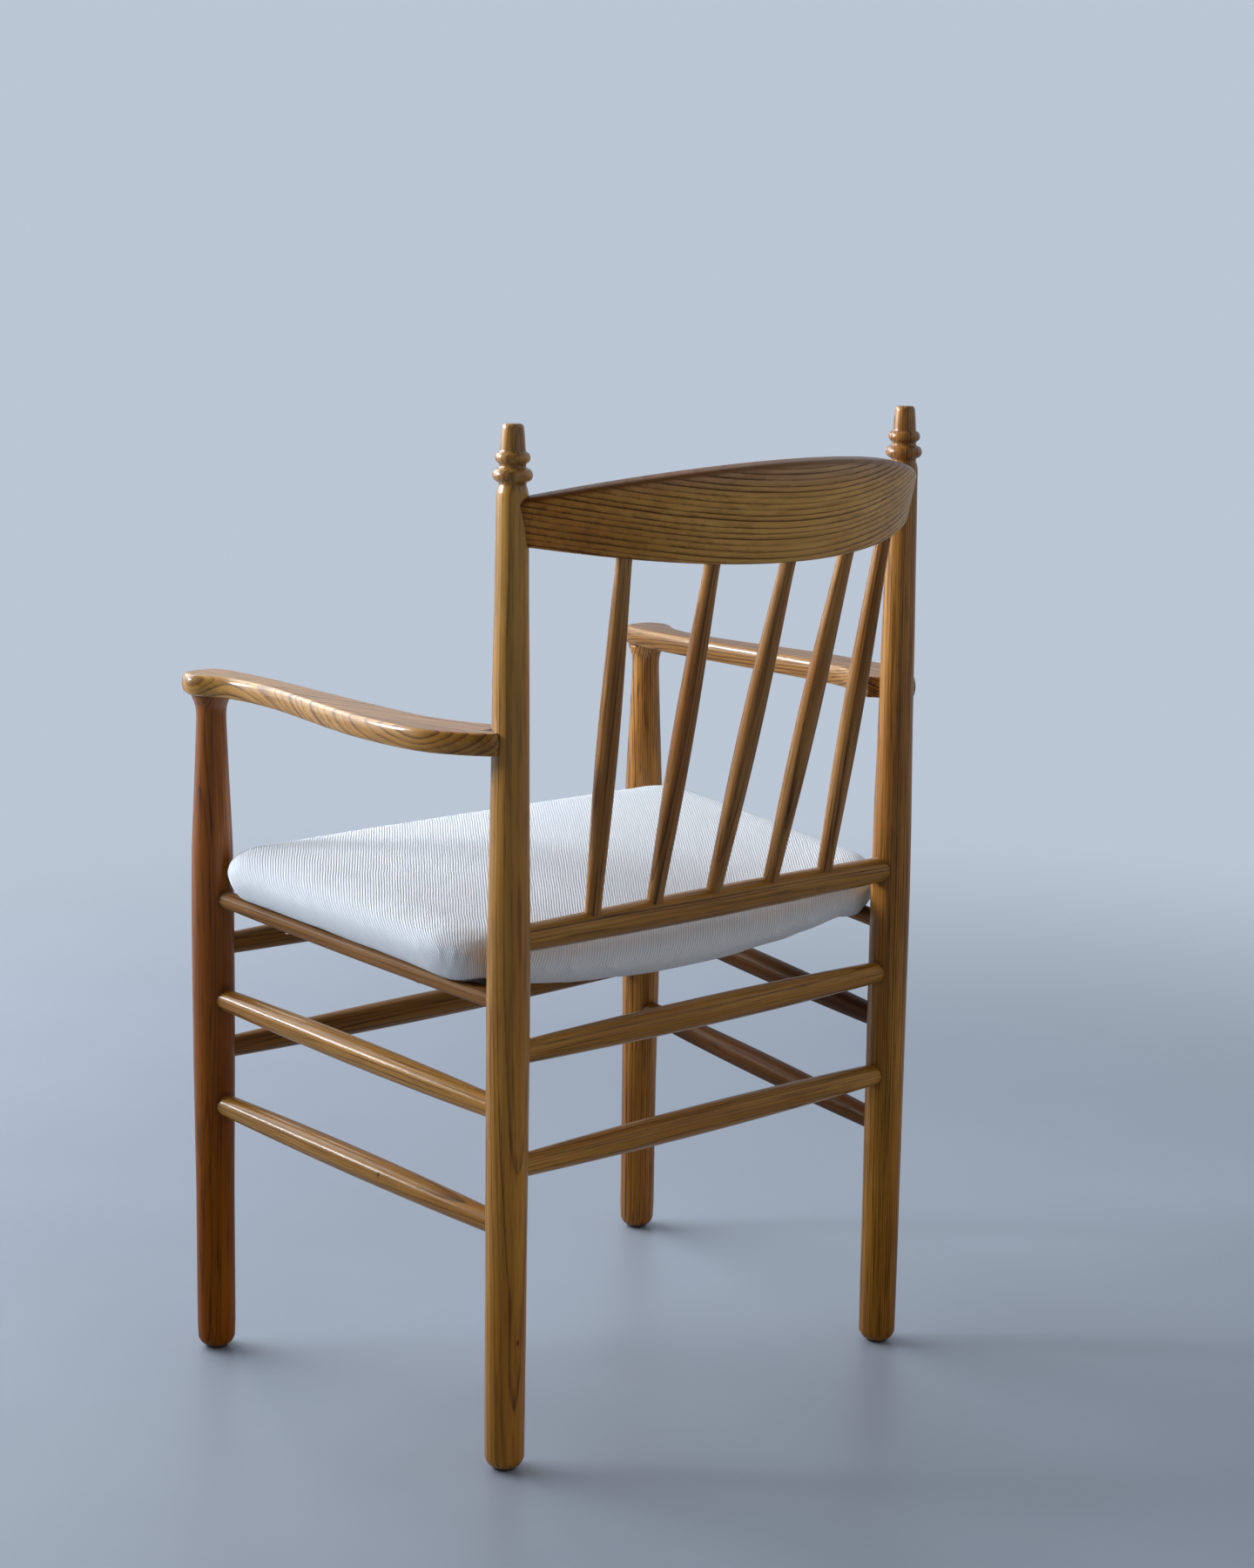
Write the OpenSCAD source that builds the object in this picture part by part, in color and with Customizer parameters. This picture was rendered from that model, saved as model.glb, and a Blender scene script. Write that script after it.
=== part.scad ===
// Wooden armchair: turned posts and rungs, five-spindle back with a bent crest
// rail, shaped arms and an upholstered seat pad that rests on two side rails.
// Frame: +Z up, the chair faces -Y, +X is the sitter's left. Millimetres.

/* [Overall] */
// Height of the rear posts, floor to finial tip
total_h = 900; // [890:1:915]
// Distance between the two rear post axes
rear_spread = 463; // [450:1:480]
// Distance between the two front post axes
front_spread = 535; // [520:1:550]
// Distance between the front and rear post axes
frame_depth = 391; // [380:1:400]

/* [Rungs] */
// Height of the lower rear rung's axis
rear_rung_lo = 268; // [260:1:275]
// Height of the upper rear rung's axis
rear_rung_hi = 368; // [360:1:373]
// Height of the lower front rung's axis
front_rung_lo = 291; // [286:1:296]
// Height of the upper front rung's axis
front_rung_hi = 391; // [386:1:396]
// Height of the lower side rungs at the rear posts
side_rung_lo = 216; // [210:1:222]
// Height of the upper side rungs at the rear posts
side_rung_hi = 318; // [312:1:323]
// Rise of the side rungs and seat rails from rear to front
side_rise = 26; // [22:1:30]
// Radius of a rung at its ends
rung_end_r = 10; // [9:0.5:10.5]
// Radius of a rung at mid length
rung_mid_r = 13; // [11:0.5:14]

/* [Back] */
// Height of the spindle rail's axis
spindle_rail_z = 467; // [462:1:472]
// Backward lean of the crest rail in degrees
crest_lean = 13.4; // [13:0.1:14]
// Bend radius of the crest rail's middle surface
crest_bend_r = 329; // [328:0.5:330]
// Thickness of the crest rail
crest_t = 18; // [17:0.5:19]
// Radius of a spindle at mid length
spindle_mid_r = 9.5; // [8:0.5:10]
// Radius of a spindle where it enters the rail and the crest
spindle_end_r = 7; // [6.5:0.1:7.2]

/* [Arms] */
// Height of the arm's underside at the front post
arm_z = 630; // [628:0.5:632]
// Thickness of the arm
arm_t = 19.5; // [18:0.5:22]
// Backward fall of the arm in degrees
arm_fall = 0.5; // [0.3:0.1:0.8]

/* [Seat] */
// Height of the seat rails at the rear posts
seat_rail_z = 412; // [408:1:416]
// Thickness of the upholstered pad
pad_t = 39.5; // [36:0.5:42]
// Half width of the pad at its rear edge
pad_w_rear = 262; // [258:1:264]
// Half width of the pad at its front edge
pad_w_front = 294; // [290:1:295]
// Dip of the pad's rear edge at the middle
pad_dip_rear = 36; // [30:1:38]
// Dip of the pad's front edge at the middle
pad_dip_front = 1; // [0:0.5:4]
// Thickness of the fabric cover
cover_t = 1.6; // [1.4:0.1:2]
// Thickness of the moulded plywood shell
shell_t = 9; // [8:0.5:10]

/* [Hidden] */
$fn = 64;

wood = "#b98a52";
glue = 0.05;                  // radial room for glue in every socket
rx = rear_spread / 2;         // rear post axis
fx = front_spread / 2;        // front post axis
ry = frame_depth / 2;
fy = -frame_depth / 2;
glide_h = 3.5;
crest_y = ry + 93;            // crest's middle surface at x = 0, at crest_z
crest_z = 800;
// the model is shifted so that its box is centred in Y
y_front = fy - 21.5;
y_back = crest_y + crest_t / 2 * cos(crest_lean) + crest_top(0) * sin(crest_lean);
y_shift = -(y_front + y_back) / 2;

// ---------- helpers ----------
// puts +Z of the children on the line from a to b, with the origin at a
module along(a, b) {
    d = b - a;
    translate(a) rotate([0, acos(d[2] / norm(d)), atan2(d[1], d[0])]) children();
}
// a point of a smooth curve through p1 and p2
function cr(p0, p1, p2, p3, t) = 0.5 * ((2 * p1) + (p2 - p0) * t
    + (2 * p0 - 5 * p1 + 4 * p2 - p3) * t * t + (3 * p1 - p0 - 3 * p2 + p3) * t * t * t);
function smooth(p, n = 4) = [for (i = [1 : len(p) - 3]) for (k = [0 : n - 1])
    cr(p[i - 1], p[i], p[i + 1], p[i + 2], k / n)];
// half-elliptic bead on a turned post: centre z, core radius, bead radius, half height
function bead(zc, r0, r1, h) = [for (a = [-80 : 20 : 80]) [r0 + (r1 - r0) * cos(a), zc + h * sin(a)]];

// round stick with a swelling middle and plain ends, axis from a to b
module stick(a, b, re, rm, tip = 6, plain = 17) {
    L = norm(b - a);
    n = 12;
    along(a, b) rotate_extrude() polygon(concat(
        [[0, -tip], [re - 1, -tip], [re, 1 - tip]],
        [for (i = [0 : n]) [re + (rm - re) * pow(sin(180 * i / n), 0.9), plain + (L - 2 * plain) * i / n]],
        [[re, L + tip - 1], [re - 1, L + tip], [0, L + tip]]));
}
// blind socket in a post at a, for a stick that leaves towards b
module socket(a, b, r, deep = 7) {
    along(a, b) translate([0, 0, -deep]) cylinder(r = r + glue, h = deep + 32);
}

// ---------- where the sticks run ----------
function side_a(s, z) = [s * rx, ry, z];
function side_b(s, z, rise) = [s * fx, fy, z + rise];
rail_rise = side_rise + 2;
rail_r_end = 8;
rail_r_mid = 9.5;
srail_end = 11.8;
srail_mid = 13.8;

// ---------- posts ----------
rear_profile = concat(
    [[0, glide_h], [13.2, glide_h], [15.4, 6], [17.2, 10], [17.5, 60], [17.8, 180], [18.3, 300],
     [18.5, 370], [18.5, 440], [17.9, 505], [17, 560], [16.2, 605], [15.4, 690], [14.4, 755],
     [13.4, 840], [13.1, 844], [12.2, 847.5], [11.4, 850.5]],
    bead(858, 11.2, 16.7, 5.6),
    [[10.8, 865.2]],
    bead(872.2, 10.7, 14.5, 4.6),
    [[10.6, 878], [9.8, 890], [9, 897], [7.6, 899.2], [5.6, 900], [0, 900]]);
front_profile = [[0, glide_h], [13.2, glide_h], [15.6, 6], [17.3, 10], [17.9, 25], [18, 160],
    [18.7, 220], [19.3, 269], [19.7, 350], [19.7, 420], [19.3, 460], [18.9, 486], [17.4, 520],
    [15.9, 552], [14.6, 585], [13.8, 604], [13.8, 612], [14.3, 617], [15.2, 620.5],
    [16.4, 623.5], [17.4, 626], [18, 628], [18.1, arm_z - 1], [17.6, arm_z - 0.4], [9, arm_z - 0.4], [9, arm_z + 13.5],
    [8, arm_z + 14.5], [0, arm_z + 14.5]];

module rear_post(s) {
    color(wood) difference() {
        translate([s * rx, ry, total_h - 900]) rotate_extrude() polygon(rear_profile);
        if (total_h > 900) translate([s * rx, ry, -1]) cylinder(r = 30, h = glide_h + 1);
        for (z = [side_rung_lo, side_rung_hi])
            socket(side_a(s, z), side_b(s, z, side_rise), rung_end_r);
        socket(side_a(s, seat_rail_z), side_b(s, seat_rail_z, rail_rise), rail_r_end);
        for (z = [rear_rung_lo, rear_rung_hi])
            socket([s * rx, ry, z], [0, ry, z], rung_end_r);
        socket([s * rx, ry, spindle_rail_z], [0, ry, spindle_rail_z], srail_end);
        crest_tenon(s, glue, 1);
        arm_dowel(s, glue, 1);
        glide_pin([s * rx, ry], glue, 0.6);
    }
}
module front_post(s) {
    color(wood) difference() {
        translate([s * fx, fy, 0]) rotate_extrude() polygon(front_profile);
        for (z = [side_rung_lo, side_rung_hi])
            socket(side_b(s, z, side_rise), side_a(s, z), rung_end_r);
        socket(side_b(s, seat_rail_z, rail_rise), side_a(s, seat_rail_z), rail_r_end);
        for (z = [front_rung_lo, front_rung_hi])
            socket([s * fx, fy, z], [0, fy, z], rung_end_r);
        glide_pin([s * fx, fy], glue, 0.6);
    }
}

// ---------- glides ----------
module glide_pin(p, g = 0, extra = 0) {
    translate([p[0], p[1], 1]) cylinder(r = 1.5 + g, h = glide_h + 10 + extra, $fn = 32);
}
module glides() {
    color("#3a2a1d") for (p = [[rx, ry], [-rx, ry], [fx, fy], [-fx, fy]]) union() {
        translate([p[0], p[1], 0]) rotate_extrude()
            polygon([[0, 0], [9.7, 0], [10.5, 0.8], [10.5, glide_h - 0.05], [0, glide_h - 0.05]]);
        glide_pin(p);
    }
}

// ---------- rungs and rails ----------
module rear_rung(z) { color(wood) stick([rx, ry, z], [-rx, ry, z], rung_end_r, rung_mid_r); }
module front_rung(z) { color(wood) stick([fx, fy, z], [-fx, fy, z], rung_end_r, rung_mid_r + 0.5); }
module side_rung(s, z) { color(wood) stick(side_a(s, z), side_b(s, z, side_rise), rung_end_r, rung_mid_r - 0.5); }

// point of the seat rail's axis at height fraction t from rear to front
function rail_at(s, t) = side_a(s, seat_rail_z) * (1 - t) + side_b(s, seat_rail_z, rail_rise) * t;
screw_t = [0.28, 0.72];
module screw_shape(g) {
    // countersunk head flush with the rail's underside
    translate([0, 0, -9.2]) cylinder(r1 = 4 + g, r2 = 2 + g, h = 2.4, $fn = 32);
    translate([0, 0, -9.2]) cylinder(r = 2 + g, h = 26.5, $fn = 32);
}
module seat_rail(s) {
    color(wood) difference() {
        stick(side_a(s, seat_rail_z), side_b(s, seat_rail_z, rail_rise), rail_r_end, rail_r_mid);
        for (t = screw_t) translate(rail_at(s, t)) {
            screw_shape(glue);
            translate([0, 0, -14]) cylinder(r = 4 + glue, h = 4.8 + 0.01, $fn = 32);
        }
    }
}
module seat_screws() {
    color("silver") for (s = [-1, 1]) for (t = screw_t) translate(rail_at(s, t)) screw_shape(0);
}

// ---------- spindles ----------
// foot on the spindle rail's axis, and a point of the same line at z = 800
sp_foot = [140, 70, 0, -70, -140];
sp_head = [154.5, 80, 0, -80, -154.5];
function crest_mid_y(x) = crest_y - 0.5 + (sqrt(crest_bend_r * crest_bend_r - x * x) - crest_bend_r) / cos(crest_lean);
function sp_a(i) = [sp_foot[i], ry, spindle_rail_z];
function sp_b(i) = [sp_head[i], crest_mid_y(sp_head[i]), crest_z];
// height of the crest's underside over x, about
function crest_under_z(x) = crest_z - 17.9
    - (sqrt(crest_bend_r * crest_bend_r - x * x) - crest_bend_r) * sin(crest_lean);
function sp_len(i, z) = norm(sp_b(i) - sp_a(i)) * (z - spindle_rail_z) / (crest_z - spindle_rail_z);
module spindle(i, g = 0) {
    a = sp_a(i);
    b = sp_b(i);
    L = sp_len(i, crest_under_z(sp_head[i]));
    n = 14;
    if (g > 0) along(a, b) {
        translate([0, 0, -4]) cylinder(r = spindle_end_r + 0.2 + g, h = 30);
        translate([0, 0, L - 12]) cylinder(r = spindle_end_r - 0.2 + g, h = 15.5);
        translate([0, 0, L + 3]) cylinder(r = spindle_end_r - 1 + g, h = 18.5);
    } else color(wood) along(a, b) rotate_extrude() polygon(concat(
        [[0, -3], [spindle_end_r - 0.6, -3], [spindle_end_r + 0.2, -2]],
        [for (k = [0 : n]) let (t = k / n)
            [spindle_end_r + 0.2 - 0.4 * t + (spindle_mid_r - spindle_end_r) * pow(sin(180 * t), 1.2),
             15 + (L - 24) * t]],
        [[spindle_end_r - 0.2, L + 3], [spindle_end_r - 1, L + 3.2], [spindle_end_r - 1, L + 20],
         [0, L + 20]]));
}
module spindle_rail() {
    color(wood) difference() {
        stick([rx, ry, spindle_rail_z], [-rx, ry, spindle_rail_z], srail_end, srail_mid);
        for (i = [0 : 4]) along(sp_a(i), sp_b(i))
            translate([0, 0, -4]) cylinder(r = spindle_end_r + 0.2 + glue, h = 30);
    }
}

// ---------- crest rail ----------
// edge heights over the angle a from the middle, measured up the leaning face
function crest_top(a) = 70.8 - 58 * pow(a / 46.5, 2) * (1.05 - 0.05 * pow(a / 46.5, 2));
function crest_bot(a) = -18.4 - 3.2 * pow(a / 46.5, 6);
// frame of the leaning crest: origin on the bend's axis
module crest_frame() {
    translate([0, crest_y, crest_z]) rotate([-crest_lean, 0, 0]) translate([0, -crest_bend_r, 0]) children();
}
post_angle = 44.7;            // where the bend meets the rear post's axis
module bend(r0, r1, a0, a1, h0, h1) {
    rotate([0, 0, 90 - a1]) rotate_extrude(angle = a1 - a0, $fn = 180)
        translate([r0, h0]) square([r1 - r0, h1 - h0]);
}
module crest_tenon(s, g = 0, extra = 0) {
    crest_frame() mirror([s > 0 ? 0 : 1, 0, 0])
        bend(crest_bend_r - 5 - g, crest_bend_r + 5 + g, post_angle - 5, post_angle + 1.2 + extra * 0.17,
             -15 - g, 7 + g);
}
module crest_rail() {
    n = 15;
    t = crest_t / 2;
    color(wood) difference() {
        union() {
            difference() {
                intersection() {
                    crest_frame() bend(crest_bend_r - t, crest_bend_r + t, -post_angle, post_angle, -40, 90);
                    crest_frame() rotate([90, 0, 0]) translate([0, 0, -crest_bend_r - 30])
                        linear_extrude(height = crest_bend_r + 30) polygon(concat(
                            [for (k = [-n : n]) let (a = post_angle * 1.06 * k / n)
                                [crest_bend_r * sin(a), crest_top(a)]],
                            [for (k = [n : -1 : -n]) let (a = post_angle * 1.06 * k / n)
                                [crest_bend_r * sin(a), crest_bot(a)]]));
                }
                for (s = [-1, 1]) translate([s * rx, ry, total_h - 900 + 755])
                    cylinder(r1 = 14.4 + glue, r2 = 13.4 + glue, h = 85, $fn = 64);
            }
            for (s = [-1, 1]) crest_tenon(s);
        }
        for (i = [0 : 4]) spindle(i, glue);
    }
}

// ---------- arms ----------
// outline of the left arm, from its nose round the outer edge and back
// along the inner edge: [x, y] from the front post's x and the frame's middle
arm_outline = [
    [262, -216], [271, -217], [279, -216.2], [286, -213.5], [291, -208], [294.2, -200], [295, -191],
    [292, -182], [286, -173], [280.5, -163], [276.5, -150], [274, -130], [273.8, -100], [276, -75],
    [279.5, -50], [283.5, -25], [287.5, 0], [291, 25], [294, 50], [295.2, 75], [295, 100],
    [292.5, 130], [288, 150], [278.5, 169], [268, 184], [259, 194], [255, 197.6], [252.3, 199.3],
    [249.8, 200], [246, 199.8], [238, 196], [230, 182], [225, 174.5], [221, 171.5], [219.3, 169.5], [220.5, 165],
    [228, 149], [235.5, 130], [242, 103], [244, 75], [244.3, 50], [244, 0], [242.5, -50],
    [241, -100], [241, -140], [242.5, -175], [244.5, -195], [248.5, -207], [254.5, -213.5]];
function wrap(p) = concat([p[len(p) - 1]], p, [p[0], p[1]]);
// direction from the rear post's axis into the arm's end
dowel_dir = [0.62, -0.785, 0];
module arm_dowel(s, g = 0, extra = 0) {
    a = [s * rx, ry, arm_z + arm_t / 2 - 3.2];
    along(a, a + [s * dowel_dir[0], dowel_dir[1], 0] * 60)
        translate([0, 0, 2 - extra]) cylinder(r = 4 + g, h = 36 + 2 * extra, $fn = 32);
}
module arm(s) {
    color(wood) difference() {
        mirror([s > 0 ? 0 : 1, 0, 0]) difference() {
            translate([0, fy, arm_z]) rotate([-arm_fall, 0, 0]) translate([0, -fy, 0])
                linear_extrude(height = arm_t) polygon(smooth(wrap(arm_outline), 3));
            translate([rx, ry, 605]) cylinder(r1 = 16.2 + glue, r2 = 15.4 + glue, h = 85, $fn = 64);
            // the end stops short of the post's inner side
            translate([rx - 40, ry - 19.5, 600]) cube([40 - 1, 60, 80]);
            translate([fx, fy, arm_z - 5]) cylinder(r = 9 + glue, h = 20.5);
        }
        arm_dowel(s, glue, 0.5);
    }
}

// ---------- seat pad ----------
pad_y0 = fy + 19.5;           // front edge
pad_y1 = ry - 18.5;           // rear edge
pad_e = 32;                   // depth of the rolled edge
pad_p = 2.3;                  // form of the dip
function mix(a, b, t) = a + (b - a) * t;
function pad_f(y) = (ry - y) / frame_depth;                       // 0 rear, 1 front
function pad_w(y) = mix(pad_w_rear, pad_w_front, (pad_y1 - y) / (pad_y1 - pad_y0));
function pad_dip(y) = mix(pad_dip_rear, pad_dip_front, (pad_y1 - y) / (pad_y1 - pad_y0));
function rail_x(y) = mix(rx, fx, pad_f(y));
function rail_z(y) = mix(seat_rail_z, seat_rail_z + rail_rise, pad_f(y));
// middle surface of the pad, so that its underside just clears the rails
function pad_mid(x, y) = let (w = pad_w(y), xr = rail_x(y), d = pad_dip(y))
    rail_z(y) + rail_r_mid + 0.9 + pad_t / 2
    + d * (pow(abs(x) / w, pad_p) - pow(xr / w, pad_p));
// one closed ring of the pad's section at y: inset i, and a cut between heights lo and hi
// (fractions of the half thickness, -1 underside, 1 top)
function roll(d, e) = sqrt(max(0, 1 - pow(1 - min(max(d, 0) / e, 1), 2)));
function pad_ring(y, i, lo, hi) =
    let (e = pad_e - i, dy = min(y - pad_y0, pad_y1 - y) - i,
         rc = 48 - i,
         w = pad_w(y) - i - (dy < rc ? rc - sqrt(max(0, rc * rc - pow(rc - max(dy, 0), 2))) : 0),
         h = (pad_t / 2 - i) * max(0.08, roll(dy, e)))
    concat(
        [for (k = [0 : 20]) let (u = cos(180 * k / 20), x = w * (abs(u) > 0.6 ? sign(u) * (0.6 + 0.4 * sin(90 * (abs(u) - 0.6) / 0.4)) : u),
             hh = h * max(0.08, roll(w - abs(x), e)))
            [x, y, pad_mid(x, y) + max(min(hi * (pad_t / 2 - i), hh), -hh)]],
        [for (k = [20 : -1 : 0]) let (u = cos(180 * k / 20), x = w * (abs(u) > 0.6 ? sign(u) * (0.6 + 0.4 * sin(90 * (abs(u) - 0.6) / 0.4)) : u),
             hh = h * max(0.08, roll(w - abs(x), e)))
            [x, y, pad_mid(x, y) + min(max(lo * (pad_t / 2 - i), -hh), hh) - 0.02]]);
module pad_solid(i, lo, hi) {
    ys = concat([for (d = [0, 1.5, 5, 10, 18, 28]) pad_y0 + i + d],
        [for (k = [1 : 5]) mix(pad_y0 + i + 28, pad_y1 - i - 28, k / 6)],
        [for (d = [28, 18, 10, 5, 1.5, 0]) pad_y1 - i - d]);
    rings = [for (y = ys) pad_ring(y, i, lo, hi)];
    m = len(rings[0]);
    n = len(rings);
    pts = [for (r = rings) each r];
    polyhedron(points = pts, faces = concat(
        [for (j = [0 : n - 2]) for (k = [0 : m - 1]) let (a = j * m + k, b = j * m + (k + 1) % m)
            each [[a, b, b + m], [a, b + m, a + m]]],
        [for (k = [0 : m / 2 - 2]) each [[k + 1, k, m - 1 - k], [k + 1, m - 1 - k, m - 2 - k]]],
        [for (k = [0 : m / 2 - 2]) let (o = (n - 1) * m)
            each [[o + k, o + k + 1, o + m - 1 - k], [o + k + 1, o + m - 2 - k, o + m - 1 - k]]]),
        convexity = 6);
}
split = -1 + (shell_t + cover_t) / (pad_t / 2);
module seat_shell() { color("#c9a36b") pad_solid(cover_t + 0.15, -1, split); }
module seat_foam() { color("#e9e2c8") pad_solid(cover_t + 0.15, split + 0.012, 1); }
module seat_cover() {
    color("#e8e6e0") difference() {
        pad_solid(0, -1, 1);
        pad_solid(cover_t, -1, 1);
    }
}

module place() { translate([0, y_shift, 0]) children(); }

place() rear_post(1);  // rear_post_left
place() rear_post(-1);  // rear_post_right
place() front_post(1);  // front_post_left
place() front_post(-1);  // front_post_right
place() crest_rail();
place() spindle_rail();
place() spindle(0);  // spindle_1
place() spindle(1);  // spindle_2
place() spindle(2);  // spindle_3
place() spindle(3);  // spindle_4
place() spindle(4);  // spindle_5
place() rear_rung(rear_rung_lo);  // rear_rung_lower
place() rear_rung(rear_rung_hi);  // rear_rung_upper
place() front_rung(front_rung_lo);  // front_rung_lower
place() front_rung(front_rung_hi);  // front_rung_upper
place() side_rung(1, side_rung_lo);  // side_rung_lower_left
place() side_rung(-1, side_rung_lo);  // side_rung_lower_right
place() side_rung(1, side_rung_hi);  // side_rung_upper_left
place() side_rung(-1, side_rung_hi);  // side_rung_upper_right
place() seat_rail(1);  // seat_rail_left
place() seat_rail(-1);  // seat_rail_right
place() arm(1);  // arm_left
place() arm(-1);  // arm_right
place() seat_shell();
place() seat_foam();
place() seat_cover();
place() glides();
place() seat_screws();
place() { arm_dowel_piece(1); arm_dowel_piece(-1); }  // arm_dowels
module arm_dowel_piece(s) { color("#d9b27a") arm_dowel(s); }
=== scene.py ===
import math

import bmesh
import bpy
import numpy as np
from mathutils import Matrix, Vector, noise
from mathutils.bvhtree import BVHTree


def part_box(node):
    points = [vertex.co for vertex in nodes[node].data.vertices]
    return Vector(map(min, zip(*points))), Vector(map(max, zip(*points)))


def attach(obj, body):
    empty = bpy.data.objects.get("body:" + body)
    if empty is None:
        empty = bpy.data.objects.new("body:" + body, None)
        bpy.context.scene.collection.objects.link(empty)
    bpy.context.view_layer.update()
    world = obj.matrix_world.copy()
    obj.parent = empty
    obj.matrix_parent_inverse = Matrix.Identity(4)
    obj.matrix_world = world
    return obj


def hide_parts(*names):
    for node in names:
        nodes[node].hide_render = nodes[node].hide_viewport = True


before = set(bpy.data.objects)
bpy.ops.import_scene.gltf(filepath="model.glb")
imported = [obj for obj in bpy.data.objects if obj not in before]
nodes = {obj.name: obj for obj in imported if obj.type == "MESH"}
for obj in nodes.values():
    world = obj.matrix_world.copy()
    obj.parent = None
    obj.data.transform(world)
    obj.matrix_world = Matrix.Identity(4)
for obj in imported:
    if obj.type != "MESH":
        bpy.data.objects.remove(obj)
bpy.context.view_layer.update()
scene = bpy.context.scene

# ---------------------------------------------------------------------------
# places, from the frame (metres)
# ---------------------------------------------------------------------------


def middle(node):
    lo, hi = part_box(node)
    return (lo + hi) / 2


RP = middle("rear_post_left")
FP = middle("front_post_left")
RX, RY = RP.x, RP.y
FX, FY = FP.x, FP.y
SHIFT = (RY + FY) / 2  # the frame's own shift in Y
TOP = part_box("rear_post_left")[1].z
ARM_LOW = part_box("front_post_left")[1].z - 0.0145  # underside of the arm at the front post
MM = 0.001


def rung_z(node):
    return middle(node).z


RR_LO, RR_HI = rung_z("rear_rung_lower"), rung_z("rear_rung_upper")
FR_LO, FR_HI = rung_z("front_rung_lower"), rung_z("front_rung_upper")
SP_RAIL_Z = rung_z("spindle_rail")


def stick_ends(node, r_end, rise):
    """z at the rear and front ends of a side stick, from its box."""
    c = rung_z(node)
    return c - rise / 2, c + rise / 2


# ---------------------------------------------------------------------------
# mesh helpers
# ---------------------------------------------------------------------------


def new_object(name, verts, faces, smooth=True):
    mesh = bpy.data.meshes.new(name)
    mesh.from_pydata([tuple(v) for v in verts], [], [tuple(f) for f in faces])
    mesh.validate()
    mesh.update()
    if smooth:
        mesh.shade_smooth()
    obj = bpy.data.objects.new(name, mesh)
    scene.collection.objects.link(obj)
    return obj


def put_vectors(obj, name, values):
    a = obj.data.attributes.get(name) or obj.data.attributes.new(name, "FLOAT_VECTOR", "POINT")
    a.data.foreach_set("vector", np.asarray(values, np.float32).ravel())


def put_floats(obj, name, values):
    a = obj.data.attributes.get(name) or obj.data.attributes.new(name, "FLOAT", "POINT")
    a.data.foreach_set("value", np.asarray(values, np.float32).ravel())


def coords(obj):
    co = np.empty(len(obj.data.vertices) * 3, np.float32)
    obj.data.vertices.foreach_get("co", co)
    return co.reshape(-1, 3).astype(float)


def eased(profile, step=0.5, sigma=0.7, keep=0.012, longest=14.0):
    """A turned profile [(z, r)] in mm: corners eased as by sanding, then thinned."""
    p = np.array(profile, float)
    seg = np.linalg.norm(np.diff(p, axis=0), axis=1)
    s = np.concatenate([[0], np.cumsum(seg)])
    n = int(s[-1] / step)
    t = np.linspace(0, s[-1], n + 1)
    q = np.stack([np.interp(t, s, p[:, 0]), np.interp(t, s, p[:, 1])], 1)
    w = np.exp(-0.5 * (np.arange(-8, 9) * (s[-1] / n) / sigma) ** 2)
    w /= w.sum()
    ext = np.concatenate([2 * q[0] - q[8:0:-1], q, 2 * q[-1] - q[-2:-10:-1]])
    q = np.stack([np.convolve(ext[:, k], w, "valid") for k in (0, 1)], 1)

    kept = [0]

    def split(a, b):
        if b - a < 2:
            return
        d = q[b] - q[a]
        L = np.linalg.norm(d)
        off = np.abs(d[0] * (q[a + 1:b, 1] - q[a, 1]) - d[1] * (q[a + 1:b, 0] - q[a, 0])) / max(L, 1e-9)
        k = int(off.argmax())
        if off[k] > keep:
            split(a, a + 1 + k)
            kept.append(a + 1 + k)
            split(a + 1 + k, b)
        elif L > longest:
            m = (a + b) // 2
            split(a, m)
            kept.append(m)
            split(m, b)

    split(0, len(q) - 1)
    kept.append(len(q) - 1)
    return q[sorted(set(kept))]


def frame_on(a, b, turn=0.0):
    """Origin and three unit axes with the third from a to b, turned about it."""
    a, b = Vector(a), Vector(b)
    w = (b - a).normalized()
    side = Vector((0, 0, 1)) if abs(w.z) < 0.9 else Vector((1, 0, 0))
    u = side.cross(w).normalized()
    v = w.cross(u)
    c, s = math.cos(turn), math.sin(turn)
    return a, u * c + v * s, v * c - u * s, w


def lathe(name, profile, a, b, segs=64, wobble=0.05, seed=0):
    """A turned piece: profile [(s, r)] in mm measured from a along a-b."""
    o, u, v, w = frame_on(a, b)
    prof = eased(profile, sigma=0.45)
    ang = np.linspace(0, 2 * math.pi, segs, endpoint=False)
    verts, faces, local = [], [], []
    start = prof[0][1] < 0.05
    end = prof[-1][1] < 0.05
    rings = prof[1:] if start else prof
    rings = rings[:-1] if end else rings
    for k, (s, r) in enumerate(rings):
        for j, t in enumerate(ang):
            dr = wobble * noise.noise(Vector((math.cos(t) * 0.9, math.sin(t) * 0.9, s * 0.02 + seed * 7.3)))
            rr = (r + (dr if r > 3 else 0)) * MM
            x, y = rr * math.cos(t), rr * math.sin(t)
            verts.append(o + u * x + v * y + w * (s * MM))
            local.append((x, y, s * MM))
    m = len(rings)
    for k in range(m - 1):
        for j in range(segs):
            j2 = (j + 1) % segs
            faces.append((k * segs + j, k * segs + j2, (k + 1) * segs + j2, (k + 1) * segs + j))
    for s, r, ring, flip in ((prof[0][0], prof[0][1], 0, True), (prof[-1][0], prof[-1][1], m - 1, False)):
        c = len(verts)
        verts.append(o + w * (s * MM))
        local.append((0, 0, s * MM))
        for j in range(segs):
            j2 = (j + 1) % segs
            e = (ring * segs + j, ring * segs + j2)
            faces.append((c, e[1], e[0]) if flip else (c, e[0], e[1]))
    obj = new_object(name, verts, faces)
    obj["axis"] = [*u, *v, *w]
    return obj, np.array(local, float)


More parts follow.
